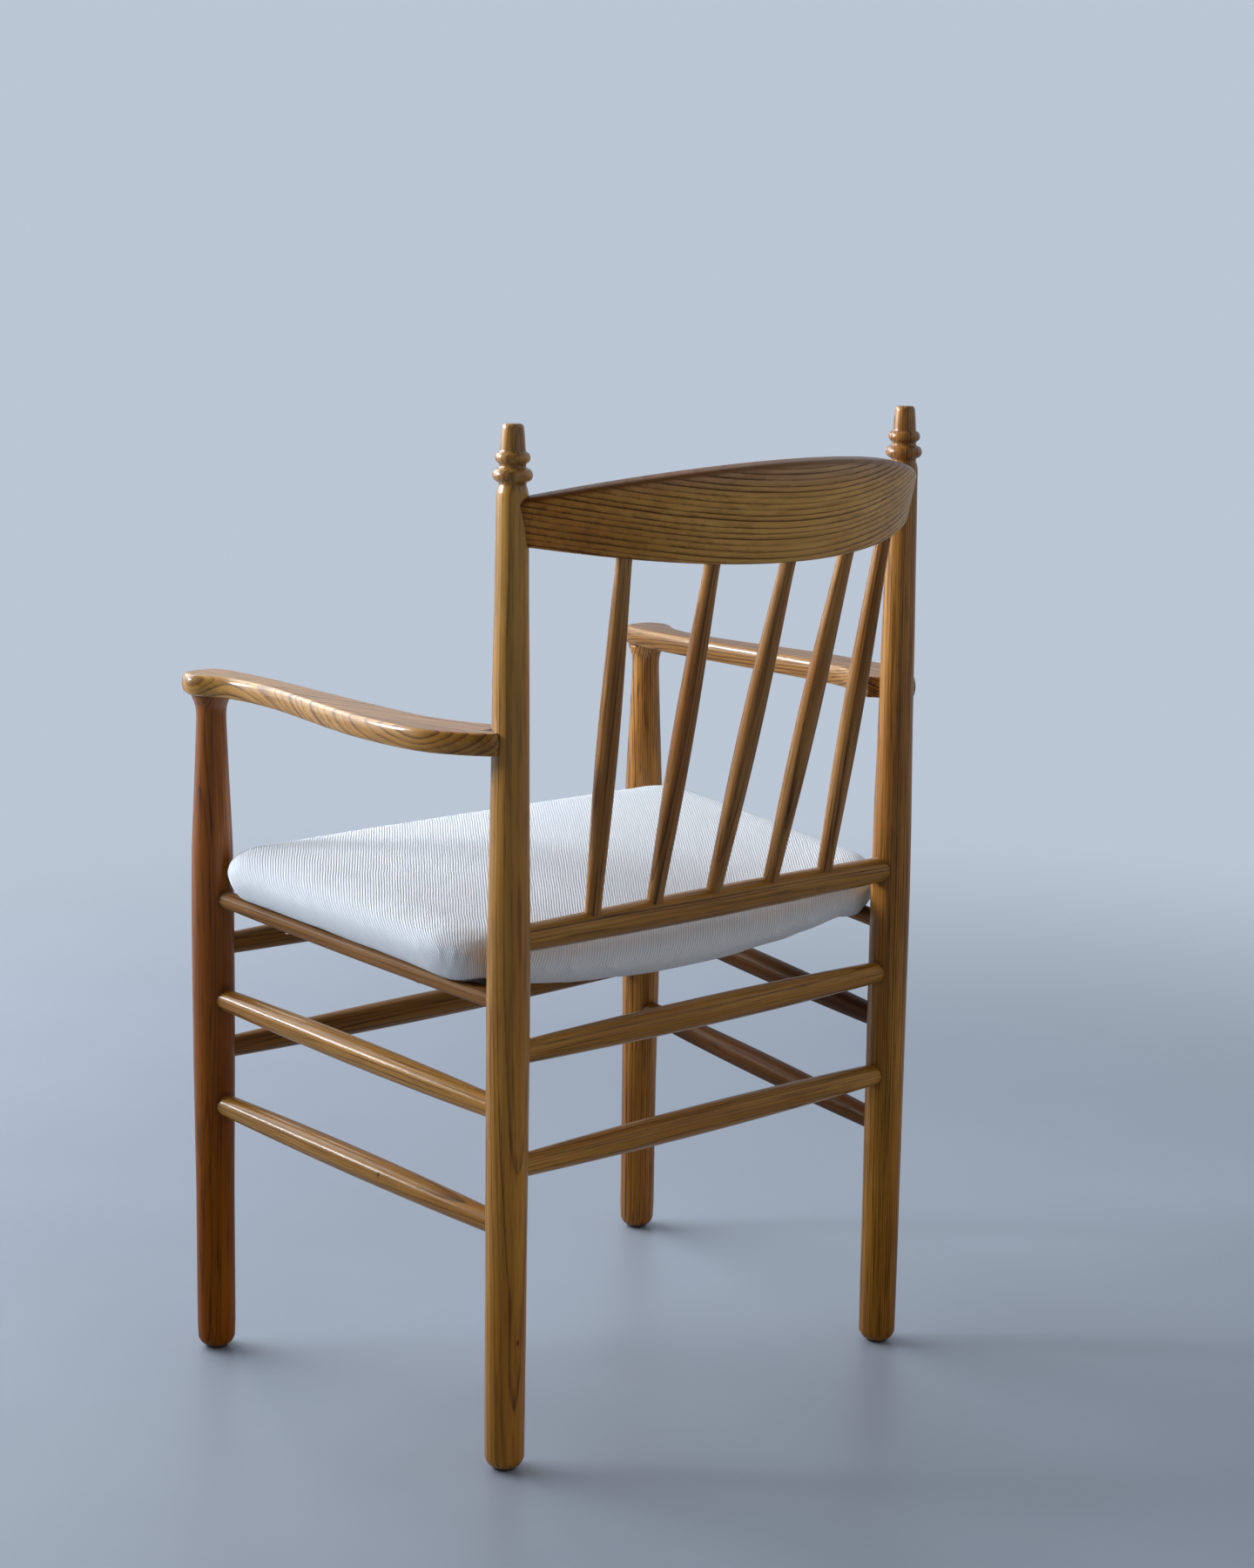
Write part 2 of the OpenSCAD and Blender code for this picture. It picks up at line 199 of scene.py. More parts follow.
def grain(obj, local, turn=0.0, pith=0.035, run=0.0, along=0.0, lean=0.0):
    """Log coordinates of each vertex: x, y across the log from its pith, z along the grain.
    turn is where round the stick the pith lies, run how fast the rings run out of it."""
    c, s = math.cos(turn), math.sin(turn)
    x = local[:, 0] * c + local[:, 1] * s
    y = -local[:, 0] * s + local[:, 1] * c
    z = local[:, 2]
    put_vectors(obj, "grain", np.stack([x + pith + run * z, y + lean * z, z + along], 1))


# ---------------------------------------------------------------------------
# node helpers
# ---------------------------------------------------------------------------


class Tree:
    def __init__(self, material):
        material.use_nodes = True
        self.t = material.node_tree
        self.t.nodes.clear()
        self.out = self.t.nodes.new("ShaderNodeOutputMaterial")
        self.bsdf = self.t.nodes.new("ShaderNodeBsdfPrincipled")
        self.link(self.bsdf.outputs[0], self.out.inputs["Surface"])

    def link(self, a, b):
        self.t.links.new(a, b)

    def node(self, kind, **props):
        n = self.t.nodes.new(kind)
        for k, v in props.items():
            setattr(n, k, v)
        return n

    def feed(self, socket, value):
        if isinstance(value, bpy.types.NodeSocket):
            self.link(value, socket)
        else:
            socket.default_value = value

    def attr(self, name):
        n = self.node("ShaderNodeAttribute", attribute_type="GEOMETRY", attribute_name=name)
        return n

    def math(self, op, a, b=0.0, c=0.0, clamp=False):
        n = self.node("ShaderNodeMath", operation=op, use_clamp=clamp)
        for s, v in zip(n.inputs, (a, b, c)):
            self.feed(s, v)
        return n.outputs[0]

    def vmath(self, op, a, b=(0, 0, 0), scale=1.0):
        n = self.node("ShaderNodeVectorMath", operation=op)
        self.feed(n.inputs[0], a)
        self.feed(n.inputs[1], b)
        if op == "SCALE":
            self.feed(n.inputs["Scale"], scale)
        return n.outputs["Value"] if op in ("LENGTH", "DOT_PRODUCT", "DISTANCE") else n.outputs["Vector"]

    def noise(self, vec, scale=1.0, detail=2.0, rough=0.5, dims="3D", distort=0.0, w=None):
        n = self.node("ShaderNodeTexNoise", noise_dimensions=dims)
        if dims == "1D":
            self.feed(n.inputs["W"], w)
        else:
            self.feed(n.inputs["Vector"], vec)
        n.inputs["Scale"].default_value = scale
        n.inputs["Detail"].default_value = detail
        n.inputs["Roughness"].default_value = rough
        n.inputs["Distortion"].default_value = distort
        return n.outputs["Fac"] if "Fac" in n.outputs else n.outputs[0]

    def ramp(self, fac, stops, interp="LINEAR"):
        n = self.node("ShaderNodeValToRGB")
        n.color_ramp.interpolation = interp
        el = n.color_ramp.elements
        while len(el) < len(stops):
            el.new(0.5)
        for e, (p, col) in zip(el, stops):
            e.position = p
            e.color = (*col, 1) if hasattr(col, "__len__") else (col, col, col, 1)
        self.feed(n.inputs["Fac"], fac)
        return n.outputs["Color"]

    def span(self, value, a, b, c, d, clamp=True, smooth=False):
        n = self.node("ShaderNodeMapRange", clamp=clamp)
        if smooth:
            n.interpolation_type = "SMOOTHSTEP"
        for s, v in zip(n.inputs, (value, a, b, c, d)):
            self.feed(s, v)
        return n.outputs[0]

    def mix(self, fac, a, b, blend="MIX"):
        n = self.node("ShaderNodeMix", data_type="RGBA", blend_type=blend)
        self.feed(n.inputs[0], fac)
        self.feed(n.inputs[6], (*a, 1) if isinstance(a, tuple) else a)
        self.feed(n.inputs[7], (*b, 1) if isinstance(b, tuple) else b)
        return n.outputs[2]

    def bump(self, height, strength, distance, normal=None):
        n = self.node("ShaderNodeBump")
        n.inputs["Strength"].default_value = strength
        n.inputs["Distance"].default_value = distance
        self.feed(n.inputs["Height"], height)
        if normal is not None:
            self.feed(n.inputs["Normal"], normal)
        return n.outputs["Normal"]


def principled(tree, **values):
    for k, v in values.items():
        tree.bsdf.inputs[k.replace("_", " ")].default_value = v


# ---------------------------------------------------------------------------
# lacquered ash
# ---------------------------------------------------------------------------


def ash(name, light, dark, line, ring=4.0, line_w=0.26, line_depth=0.85, wave=2.6, fine=0.8,
        seed=0.0, rough=0.42, coat=0.80, coat_rough=0.22, coat_ior=1.32, spec=0.20, tint=(1.0, 0.70, 0.38),
        blotch=0.5, vary=1.5, ripple=0.42, painted_shade_low=(1, 1, 1), painted_light_high=(1, 1, 1), end=None, coat_low=None, dash=0.32, marks=()):
    """Ring-porous wood under a satin lacquer. ring is the growth ring in mm, wave how far the rings wander in mm."""
    m = bpy.data.materials.new(name)
    t = Tree(m)
    g = t.attr("grain").outputs["Vector"]
    joint_dirt_and_shade = t.attr("joint_dirt_and_shade").outputs["Fac"]
    g = t.vmath("ADD", g, (0.0, 0.0, seed * 1.7))
    xy = t.vmath("MULTIPLY", g, (1, 1, 0))
    r = t.vmath("LENGTH", xy)
    # slow wander of the rings along the stick, then small waves
    n1 = t.noise(t.vmath("MULTIPLY", g, (14, 14, 3.4)), 1.0, 1.5, 0.45)
    n2 = t.noise(t.vmath("MULTIPLY", g, (55, 55, 11)), 1.0, 2.0, 0.5)
    r = t.math("ADD", r, t.math("MULTIPLY", t.math("SUBTRACT", n1, 0.5), wave * 2.6 * MM))
    r = t.math("ADD", r, t.math("MULTIPLY", t.math("SUBTRACT", n2, 0.5), wave * ripple * MM))
    rho = t.math("DIVIDE", r, ring * MM)
    nw = t.noise(None, 1.0, 1.0, 0.5, dims="1D", w=t.math("ADD", t.math("MULTIPLY", rho, 0.43), seed * 3.1))
    rho = t.math("ADD", rho, t.math("MULTIPLY", nw, vary))
    f = t.math("FRACT", rho)
    cell = t.math("FLOOR", rho)
    per_ring = t.noise(None, 1.0, 0.0, 0.5, dims="1D", w=t.math("ADD", t.math("MULTIPLY", cell, 0.77), seed))
    # open-pored early wood starts sharply and fades into the late wood
    band = t.ramp(f, [(0.0, 1.0), (line_w * 0.35, 0.92), (line_w, 0.34), (line_w * 2.1, 0.10), (0.80, 0.0),
                      (0.955, 0.10), (1.0, 1.0)])
    fade = t.noise(t.vmath("MULTIPLY", g, (45, 45, 8)), 1.0, 2.0, 0.55)
    strength = t.math("MULTIPLY", t.span(fade, 0.3, 0.68, 0.6, 1.2), t.span(per_ring, 0.3, 0.7, 0.6, 1.2))
    band = t.math("MULTIPLY", band, strength)
    # fibres and pores, long and thin along the grain
    fibre = t.noise(t.vmath("MULTIPLY", g, (900, 900, 22)), 1.0, 3.0, 0.6)
    fibre2 = t.noise(t.vmath("MULTIPLY", g, (190, 190, 5)), 1.0, 2.0, 0.55)
    pore = t.noise(t.vmath("MULTIPLY", g, (1500, 1500, 85)), 1.0, 2.0, 0.5)
    pore = t.span(pore, 0.56, 0.70, 0.0, 1.0)
    pore = t.math("MULTIPLY", pore, t.math("ADD", 0.22, t.math("MULTIPLY", band, 0.78)))
    # vessels long enough to be seen one by one
    vessel = t.noise(t.vmath("ADD", t.vmath("MULTIPLY", g, (430, 430, 17)), (3.3, 8.1, 5.7)), 1.0, 2.0, 0.5)
    vessel = t.span(vessel, 0.52, 0.66, 0.0, 1.0)
    late = t.span(f, 0.35, 0.95, 0.0, 1.0)
    amount = t.math("ADD", t.math("MULTIPLY", band, line_depth),
                    t.math("MULTIPLY", t.math("SUBTRACT", fibre, 0.5), 0.5 * fine))
    amount = t.math("ADD", amount, t.math("MULTIPLY", t.math("SUBTRACT", fibre2, 0.5), 0.95 * fine))
    amount = t.math("ADD", amount, t.math("MULTIPLY", vessel, dash))
    amount = t.math("ADD", amount, t.math("MULTIPLY", pore, 0.35), clamp=True)
    # slow colour drift: paler and yellower, or darker and redder
    drift = t.noise(t.vmath("MULTIPLY", g, (26, 26, 3.2)), 1.0, 2.5, 0.55)
    drift2 = t.noise(t.vmath("ADD", t.vmath("MULTIPLY", g, (34, 34, 5.5)), (7.7, 3.1, 1.9)), 1.0, 2.0, 0.5)
    ground = t.mix(t.span(drift, 0.34, 0.66, 0.0, 1.0), light, dark)
    ground = t.mix(t.math("MULTIPLY", t.span(drift2, 0.48, 0.72, 0.0, 1.0), 0.30 * blotch), ground,
                   (dark[0] * 1.05, dark[1] * 0.72, dark[2] * 0.42))
    ground = t.mix(t.math("MULTIPLY", late, 0.16), ground, (dark[0] * 0.9, dark[1] * 0.86, dark[2] * 0.8))
    colour = t.mix(amount, ground, line)
    # painted shade: where plain is set (the crest's rounded top edge) the colour is painted evenly darker and its grain
    # hidden, for the little light that reaches it from above and behind
    plain = t.attr("plain").outputs["Fac"]
    colour = t.mix(t.math("MULTIPLY", plain, 0.9, clamp=True), colour, (dark[0] * 0.40, dark[1] * 0.30, dark[2] * 0.22))
    # painted light: the colour is multiplied by height, darker and less blue near the feet as painted shade, paler and
    # bluer towards the top as painted sheen
    place = t.node("ShaderNodeSeparateXYZ")
    t.link(t.node("ShaderNodeTexCoord").outputs["Object"], place.inputs[0])
    painted_light_tone = t.mix(t.span(place.outputs[2], 0.12, 0.80, 0.0, 1.0), tuple(painted_shade_low), tuple(painted_light_high))
    # painted sheen: above about 0.85 m (the finials and the top of the crest) the colour turns greyer and bluer
    painted_light_tone = t.mix(t.span(place.outputs[2], 0.842, 0.856, 0.0, 1.0), painted_light_tone, (0.84, 0.88, 1.6))
    colour = t.mix(1.0, colour, painted_light_tone, blend="MULTIPLY")
    if end:  # the board turns redder towards its left end
        colour = t.mix(t.span(place.outputs[0], 0.08, 0.22, 0.0, 1.0), colour, t.mix(1.0, colour, tuple(end), blend="MULTIPLY"))
    # knocks and stains: centre, radius and colour
    for spot, radius, paint in marks:
        away = t.vmath("SUBTRACT", t.node("ShaderNodeTexCoord").outputs["Object"], spot)
        away = t.vmath("LENGTH", t.vmath("ADD", away, t.vmath("MULTIPLY", away, (0.0, 0.0, -0.35))))
        colour = t.mix(t.span(away, radius * 0.45, radius, 0.85, 0.0), colour, paint)
    # dark joints where sticks meet, plus painted shade in the bead grooves, on the arms' sides and at the far arm's
    # rear, all darken the colour here
    colour = t.mix(t.math("MULTIPLY", joint_dirt_and_shade, 0.85, clamp=True), colour,
                   (line[0] * 0.35, line[1] * 0.32, line[2] * 0.3))
    t.link(colour, t.bsdf.inputs["Base Color"])
    # lacquer: pores telegraph through, the film is a little uneven
    film = t.noise(t.vmath("MULTIPLY", g, (95, 95, 28)), 1.0, 2.0, 0.5)
    orange = t.noise(t.vmath("MULTIPLY", g, (420, 420, 260)), 1.0, 1.0, 0.5)
    height = t.math("SUBTRACT", t.math("MULTIPLY", fibre, 0.10), t.math("MULTIPLY", pore, 0.55))
    height = t.math("SUBTRACT", height, t.math("MULTIPLY", band, 0.22))
    height = t.math("ADD", height, t.math("MULTIPLY", orange, 0.05))
    n = t.bump(t.math("MULTIPLY", film, 1.0), 0.35, 0.0006)
    n = t.bump(height, 0.55, 0.00022, n)
    t.link(n, t.bsdf.inputs["Normal"])
    coat_n = t.bump(t.math("ADD", t.math("MULTIPLY", film, 1.0), t.math("MULTIPLY", height, 0.22)), 0.30, 0.0005)
    t.link(coat_n, t.bsdf.inputs["Coat Normal"])
    ro = t.math("ADD", rough - 0.05, t.math("MULTIPLY", film, 0.10))
    ro = t.math("ADD", ro, t.math("MULTIPLY", amount, 0.10), clamp=True)
    t.link(ro, t.bsdf.inputs["Roughness"])
    principled(t, Coat_Roughness=coat_rough, Coat_IOR=coat_ior, IOR=1.48, Specular_IOR_Level=spec,
               Specular_Tint=(*tint, 1.0), Coat_Tint=(1.0, 0.97, 0.90, 1.0))
    if coat_low is None:
        principled(t, Coat_Weight=coat)
    else:  # the film is duller towards the feet
        t.link(t.span(place.outputs[2], 0.15, 0.60, coat_low, coat), t.bsdf.inputs["Coat Weight"])
    return m


def linear(r, g, b):
    """sRGB 0..255 to linear."""
    return tuple((c / 255 / 12.92) if c <= 10 else ((c / 255 + 0.055) / 1.055) ** 2.4 for c in (r, g, b))


HONEY = dict(light=(0.47, 0.226, 0.030), dark=(0.325, 0.130, 0.012), line=(0.110, 0.036, 0.003))
AMBER = dict(light=(0.48, 0.235, 0.040), dark=(0.33, 0.136, 0.016), line=(0.095, 0.030, 0.003))
REDDER = dict(light=(0.33, 0.106, 0.004), dark=(0.215, 0.054, 0.002), line=(0.080, 0.017, 0.0005))
WARM = dict(light=(0.50, 0.250, 0.046), dark=(0.34, 0.145, 0.018), line=(0.090, 0.028, 0.004))
RUSSET = dict(light=(0.40, 0.212, 0.064), dark=(0.25, 0.105, 0.018), line=(0.072, 0.022, 0.003))
CHESTNUT_SHADED = dict(light=(0.27, 0.118, 0.022), dark=(0.18, 0.066, 0.008), line=(0.060, 0.018, 0.002))
UMBER_SHADED = dict(light=(0.100, 0.034, 0.004), dark=(0.068, 0.020, 0.002), line=(0.034, 0.010, 0.001))
TAWNY = dict(light=(0.44, 0.225, 0.062), dark=(0.31, 0.142, 0.028), line=(0.085, 0.028, 0.005))
BISTRE = dict(light=(0.42, 0.205, 0.040), dark=(0.28, 0.118, 0.016), line=(0.078, 0.024, 0.003))
PALE = dict(light=(0.60, 0.33, 0.084), dark=(0.44, 0.205, 0.036), line=(0.140, 0.052, 0.010))
FLAME = dict(light=(0.66, 0.385, 0.118), dark=(0.50, 0.262, 0.064), line=(0.122, 0.045, 0.008))
DUSK_SHADED = dict(light=(0.34, 0.170, 0.062), dark=(0.23, 0.103, 0.031), line=(0.070, 0.024, 0.005))

# the height multipliers given to these materials are painted light: painted shade near the feet, painted sheen towards
# the top
M_REAR_NEAR = ash("ash_rear_post_left", ring=3.6, wave=3.2, line_w=0.20, seed=1.0, fine=1.8, rough=0.40, line_depth=0.74, coat=1.0,
                  coat_ior=1.42, coat_low=0.34, painted_shade_low=(1.02, 0.93, 0.66), painted_light_high=(1.02, 1.14, 1.80),
                  marks=[((RX + 0.0006, RY + 0.0176, 0.118), 0.0024, (0.16, 0.010, 0.004))], **HONEY)
M_REAR_FAR = ash("ash_rear_post_right", ring=2.3, wave=1.6, seed=2.0, fine=1.8, rough=0.40, line_depth=1.0, coat=0.95,
                 coat_ior=1.39, coat_low=0.08, dash=0.40, painted_shade_low=(0.93, 0.84, 0.56), painted_light_high=(1.04, 1.10, 1.60), **AMBER)
M_FRONT_NEAR = ash("ash_front_post_left", ring=2.8, wave=2.4, seed=3.0, line_depth=0.65, fine=1.2, rough=0.40, coat=0.95,
                   coat_ior=1.46, coat_low=0.05, spec=0.12, dash=0.40, painted_shade_low=(1.02, 0.92, 0.40), painted_light_high=(1.02, 1.06, 1.3), **REDDER)
M_FRONT_FAR = ash("ash_front_post_right", ring=2.1, wave=1.4, seed=3.5, line_depth=1.1, fine=1.8, rough=0.40, coat=0.95,
                  coat_ior=1.42, coat_low=0.40, dash=0.50, painted_shade_low=(0.86, 0.70, 0.42), painted_light_high=(1.30, 1.28, 1.50), **AMBER)
M_RUNG = ash("ash_side_rungs", ring=2.8, wave=2.0, seed=4.0, line_depth=0.75, fine=1.3, coat=0.40, coat_rough=0.14,
             coat_ior=1.48, marks=[((0.2570, 0.047 + SHIFT, 0.2300), 0.0022, (0.030, 0.008, 0.002))], **WARM)
M_REAR_RUNG = ash("ash_rear_rungs", ring=2.8, wave=2.0, seed=4.2, line_depth=0.75, fine=1.5, coat=0.6, **WARM)
M_SPINDLE_RAIL = ash("ash_spindle_rail", ring=2.8, wave=2.0, seed=4.3, line_depth=0.75, fine=1.5, coat=0.6, **BISTRE)
# painted shade: the front rungs get a darker copy of the rung palette for the shade under the seat
M_FRONT_RUNG_SHADED = ash("ash_front_rungs_shaded", ring=2.8, wave=2.0, seed=4.7, line_depth=0.75, fine=1.2, coat=0.35, coat_ior=1.28,
                   spec=0.14, **CHESTNUT_SHADED)
# painted shade: the far side rungs get a much darker copy of the rung palette for the seat's shadow over them
M_FAR_RUNG_SHADED = ash("ash_far_side_rungs_shaded", ring=2.8, wave=2.0, seed=4.8, line_depth=0.75, fine=1.2, coat=0.15, coat_ior=1.26,
                 spec=0.06, **UMBER_SHADED)
# the seat rails are dull, and their darker palette is painted shade under the pad's overhang
M_RAIL_SHADED = ash("ash_seat_rails_shaded", ring=2.8, wave=2.0, seed=4.5, line_depth=0.6, rough=0.55, coat=0.14, coat_rough=0.36,
             spec=0.14, **DUSK_SHADED)
M_SPINDLE = ash("ash_spindles", ring=3.4, wave=2.6, seed=5.0, blotch=1.8, fine=2.0, rough=0.44, line_depth=0.80,
                painted_shade_low=(0.92, 0.90, 0.80), painted_light_high=(1.06, 1.10, 1.40), **RUSSET)
M_CREST = ash("ash_crest", ring=5.2, wave=1.3, seed=6.0, line_w=0.24, line_depth=1.2, fine=1.1, rough=0.46, dash=0.15,
              coat=0.50, coat_rough=0.26, vary=0.55, ripple=1.1, end=(0.80, 0.60, 0.36), **FLAME)
M_ARM = ash("ash_arm_left", ring=4.4, wave=2.2, seed=7.0, line_w=0.30, line_depth=0.90, fine=1.1, coat=0.6, coat_rough=0.14,
            coat_ior=1.48, spec=0.24, dash=0.18, **PALE)
M_ARM_FAR = ash("ash_arm_right", ring=2.6, wave=1.4, seed=7.4, line_w=0.36, line_depth=1.1, fine=1.3, coat=0.34,
                coat_rough=0.13, coat_ior=1.46, spec=0.20, dash=0.30, **TAWNY)

# ---------------------------------------------------------------------------
# turned pieces
# ---------------------------------------------------------------------------


def bead(zc, r0, r1, h):
    return [(zc + h * math.sin(math.radians(a)), r0 + (r1 - r0) * math.cos(math.radians(a))) for a in range(-80, 81, 10)]


REAR_PROFILE = [(3.5, 0), (3.5, 13.2), (6, 15.4), (10, 17.2), (60, 17.5), (180, 17.8), (300, 18.3), (370, 18.5),
                (440, 18.5), (505, 17.9), (560, 17), (605, 16.2), (690, 15.4), (755, 14.4), (840, 13.4),
                (844, 13.1), (847.5, 12.2), (850.5, 11.2)] + bead(858, 11.0, 16.7, 5.8) + [(865.2, 10.8)] + \
    bead(872.2, 10.7, 14.5, 4.7) + [(878, 10.6), (890, 9.8), (897, 9.1), (898.8, 8.3), (900, 6.6), (900.1, 0)]
FRONT_PROFILE = [(3.5, 0), (3.5, 13.2), (6, 15.6), (10, 17.3), (25, 17.9), (160, 18), (220, 18.7), (269, 19.3),
                 (350, 19.7), (420, 19.7), (460, 19.3), (486, 18.9), (520, 17.4), (552, 15.9), (585, 14.6),
                 (604, 13.8), (612, 13.8), (617, 14.3), (620.5, 15.2), (623.5, 16.4), (626, 17.4), (628, 18.0),
                 (629.0, 18.25), (629.65, 17.9), (629.7, 9), (629.7, 0)]
K = TOP / 0.9


def darken_joints(obj, spots, axis_point):
    """Lacquer and dust gather where another stick enters: spots are (point, radius) in metres."""
    co = coords(obj)
    s = np.zeros(len(co))
    for p, r in spots:
        d = np.linalg.norm(co - np.array(p), axis=1) - r
        s = np.maximum(s, np.clip(1 - d / 0.0022, 0, 1) ** 1.5)
    return s


def painted_groove_shade(local, prof_r, lo, hi):
    """Painted shade in the grooves between beads, darker where the radius is small."""
    r = np.hypot(local[:, 0], local[:, 1]) / MM
    z = local[:, 2] / MM
    m = (z > lo) & (z < hi)
    s = np.zeros(len(z))
    s[m] = np.clip((13.0 - r[m]) / 3.2, 0, 1) * 0.55
    return s


SIDE_Z = {n: stick_ends(n, 0.010, 0.026) for n in
          ("side_rung_lower_left", "side_rung_upper_left", "side_rung_lower_right", "side_rung_upper_right")}
RAIL_Z = {n: stick_ends(n, 0.008, 0.028) for n in ("seat_rail_left", "seat_rail_right")}

pieces = []


def finish_piece(obj, material, slot, *replaced):
    obj.data.materials.append(material)
    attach(obj, "root")
    if replaced:
        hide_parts(*replaced)
    pieces.append(obj)
    return obj


for s, side in ((1, "left"), (-1, "right")):
    # rear post
    base = Vector((s * RX, RY, 0))
    obj, local = lathe(f"turned_rear_post_{side}", [(z * K, r) for z, r in REAR_PROFILE], base, base + Vector((0, 0, 1)),
                       segs=80, seed=1 + s)
    if s > 0:
        grain(obj, local, turn=math.radians(168), pith=0.036, run=0.015, along=0.31, lean=0.006)
    else:
        grain(obj, local, turn=math.radians(238), pith=0.060, run=0.004, along=1.1, lean=-0.003)
    spots = []
    for n in (f"side_rung_lower_{side}", f"side_rung_upper_{side}"):
        spots.append(((s * (RX + 0.0016), RY - 0.017, SIDE_Z[n][0]), 0.0103))
    spots.append(((s * (RX + 0.0016), RY - 0.017, RAIL_Z[f"seat_rail_{side}"][0]), 0.0083))
    for z in (RR_LO, RR_HI):
        spots.append(((s * (RX - 0.0175), RY, z), 0.0103))
    spots.append(((s * (RX - 0.0175), RY, SP_RAIL_Z), 0.012))
    # painted shade in the grooves between the beads joins the dark joints
    joint_dirt_and_shade = np.maximum(darken_joints(obj, spots, base), painted_groove_shade(local, None, 849, 881))
    put_floats(obj, "joint_dirt_and_shade", joint_dirt_and_shade * 0.55)
    finish_piece(obj, M_REAR_NEAR if s > 0 else M_REAR_FAR, "wood", f"rear_post_{side}")
    # front post
    base = Vector((s * FX, FY, 0))
    obj, local = lathe(f"turned_front_post_{side}", FRONT_PROFILE, base, base + Vector((0, 0, 1)), segs=80, seed=4 + s)
    grain(obj, local, turn=math.radians(100 if s > 0 else 55), pith=0.060, run=0.005 * s, along=2.2 + s, lean=0.003)
    spots = []
    for n in (f"side_rung_lower_{side}", f"side_rung_upper_{side}"):
        spots.append(((s * (FX - 0.0016), FY + 0.0185, SIDE_Z[n][1]), 0.0103))
    spots.append(((s * (FX - 0.0016), FY + 0.0185, RAIL_Z[f"seat_rail_{side}"][1]), 0.0083))
    for z in (FR_LO, FR_HI):
        spots.append(((s * (FX - 0.0185), FY, z), 0.0103))
    put_floats(obj, "joint_dirt_and_shade", darken_joints(obj, spots, base) * 0.55)
    finish_piece(obj, M_FRONT_NEAR if s > 0 else M_FRONT_FAR, "wood", f"front_post_{side}")


def rung_profile(length, r_end, r_mid, tip=6, plain=17, power=0.9):
    n = 24
    p = [(-tip, 0), (-tip, r_end - 1), (1 - tip, r_end)]
    p += [(plain + (length - 2 * plain) * i / n, r_end + (r_mid - r_end) * math.sin(math.pi * i / n) ** power)
          for i in range(n + 1)]
    return p + [(length + tip - 1, r_end), (length + tip, r_end - 1), (length + tip, 0)]


def rung(name, a, b, r_end, r_mid, node, material, turn, pith, seed, run=0.006):
    length = (Vector(b) - Vector(a)).length / MM
    obj, local = lathe(name, rung_profile(length, r_end, r_mid), a, b, segs=64, seed=seed)
    grain(obj, local, turn=math.radians(turn), pith=pith, run=run, along=seed * 0.63)
    put_floats(obj, "joint_dirt_and_shade", np.zeros(len(local)))
    return finish_piece(obj, material, "wood", node)


rung("turned_rear_rung_lower", (RX, RY, RR_LO), (-RX, RY, RR_LO), 10, 13, "rear_rung_lower", M_REAR_RUNG, 40, 0.035, 11)
rung("turned_rear_rung_upper", (RX, RY, RR_HI), (-RX, RY, RR_HI), 10, 13, "rear_rung_upper", M_REAR_RUNG, -60, 0.030, 12)
rung("turned_front_rung_lower", (FX, FY, FR_LO), (-FX, FY, FR_LO), 10, 13.5, "front_rung_lower", M_FRONT_RUNG_SHADED, 10, 0.04, 13)
rung("turned_front_rung_upper", (FX, FY, FR_HI), (-FX, FY, FR_HI), 10, 13.5, "front_rung_upper", M_FRONT_RUNG_SHADED, 100, 0.03, 14)
rung("turned_spindle_rail", (RX, RY, SP_RAIL_Z), (-RX, RY, SP_RAIL_Z), 11.8, 13.8, "spindle_rail", M_SPINDLE_RAIL, 20, 0.045, 15)
k = 0
for s, side in ((1, "left"), (-1, "right")):
    for level in ("lower", "upper"):
        n = f"side_rung_{level}_{side}"
        z0, z1 = SIDE_Z[n]
        rung(f"turned_{n}", (s * RX, RY, z0), (s * FX, FY, z1), 10, 12.5, n, M_RUNG if s > 0 else M_FAR_RUNG_SHADED, 60 + 70 * k, 0.034, 20 + k)
        k += 1
    n = f"seat_rail_{side}"
    z0, z1 = RAIL_Z[n]
    rung(f"turned_{n}", (s * RX, RY, z0), (s * FX, FY, z1), 8, 9.5, n, M_RAIL_SHADED, 150, 0.03, 30 + k)

# spindles: foot on the rail's axis, head in the crest
CREST_R, CREST_T, LEAN = 0.329, 0.018, math.radians(13.4)
CREST_O = Vector((0, RY + 0.093, 0.8))
HEADS = {1: (140, 154.5), 2: (70, 80), 3: (0, 0), 4: (-70, -80), 5: (-140, -154.5)}
for i, (foot, head) in HEADS.items():
    x = head * MM
    y = CREST_O.y - 0.0005 + (math.sqrt(CREST_R ** 2 - x * x) - CREST_R) / math.cos(LEAN)
    a = Vector((foot * MM, RY, SP_RAIL_Z))
    b = Vector((x, y, 0.8))
    under = 0.8 - 0.0179 - (math.sqrt(CREST_R ** 2 - x * x) - CREST_R) * math.sin(LEAN)
    length = (b - a).length * (under - SP_RAIL_Z) / (0.8 - SP_RAIL_Z) / MM
    n = 24
    prof = [(-3, 0), (-3, 6.4), (-2, 7.2)]
    prof += [(15 + (length - 24) * q / n, 7.2 - 0.4 * q / n + 2.5 * math.sin(math.pi * q / n) ** 1.2) for q in range(n + 1)]
    prof += [(length + 3, 6.8), (length + 3.4, 6.0), (length + 20, 6.0), (length + 20, 0)]
    obj, local = lathe(f"turned_spindle_{i}", prof, a, b, segs=56, seed=40 + i)
    grain(obj, local, turn=math.radians(35 * i + 20), pith=0.030 + 0.004 * (i % 3), run=0.008, along=0.9 * i)
    put_floats(obj, "joint_dirt_and_shade", np.zeros(len(local)))
    finish_piece(obj, M_SPINDLE, "wood", f"spindle_{i}")

# ---------------------------------------------------------------------------
# crest rail: a leaning, bent board with eased edges that dies into the posts
# ---------------------------------------------------------------------------


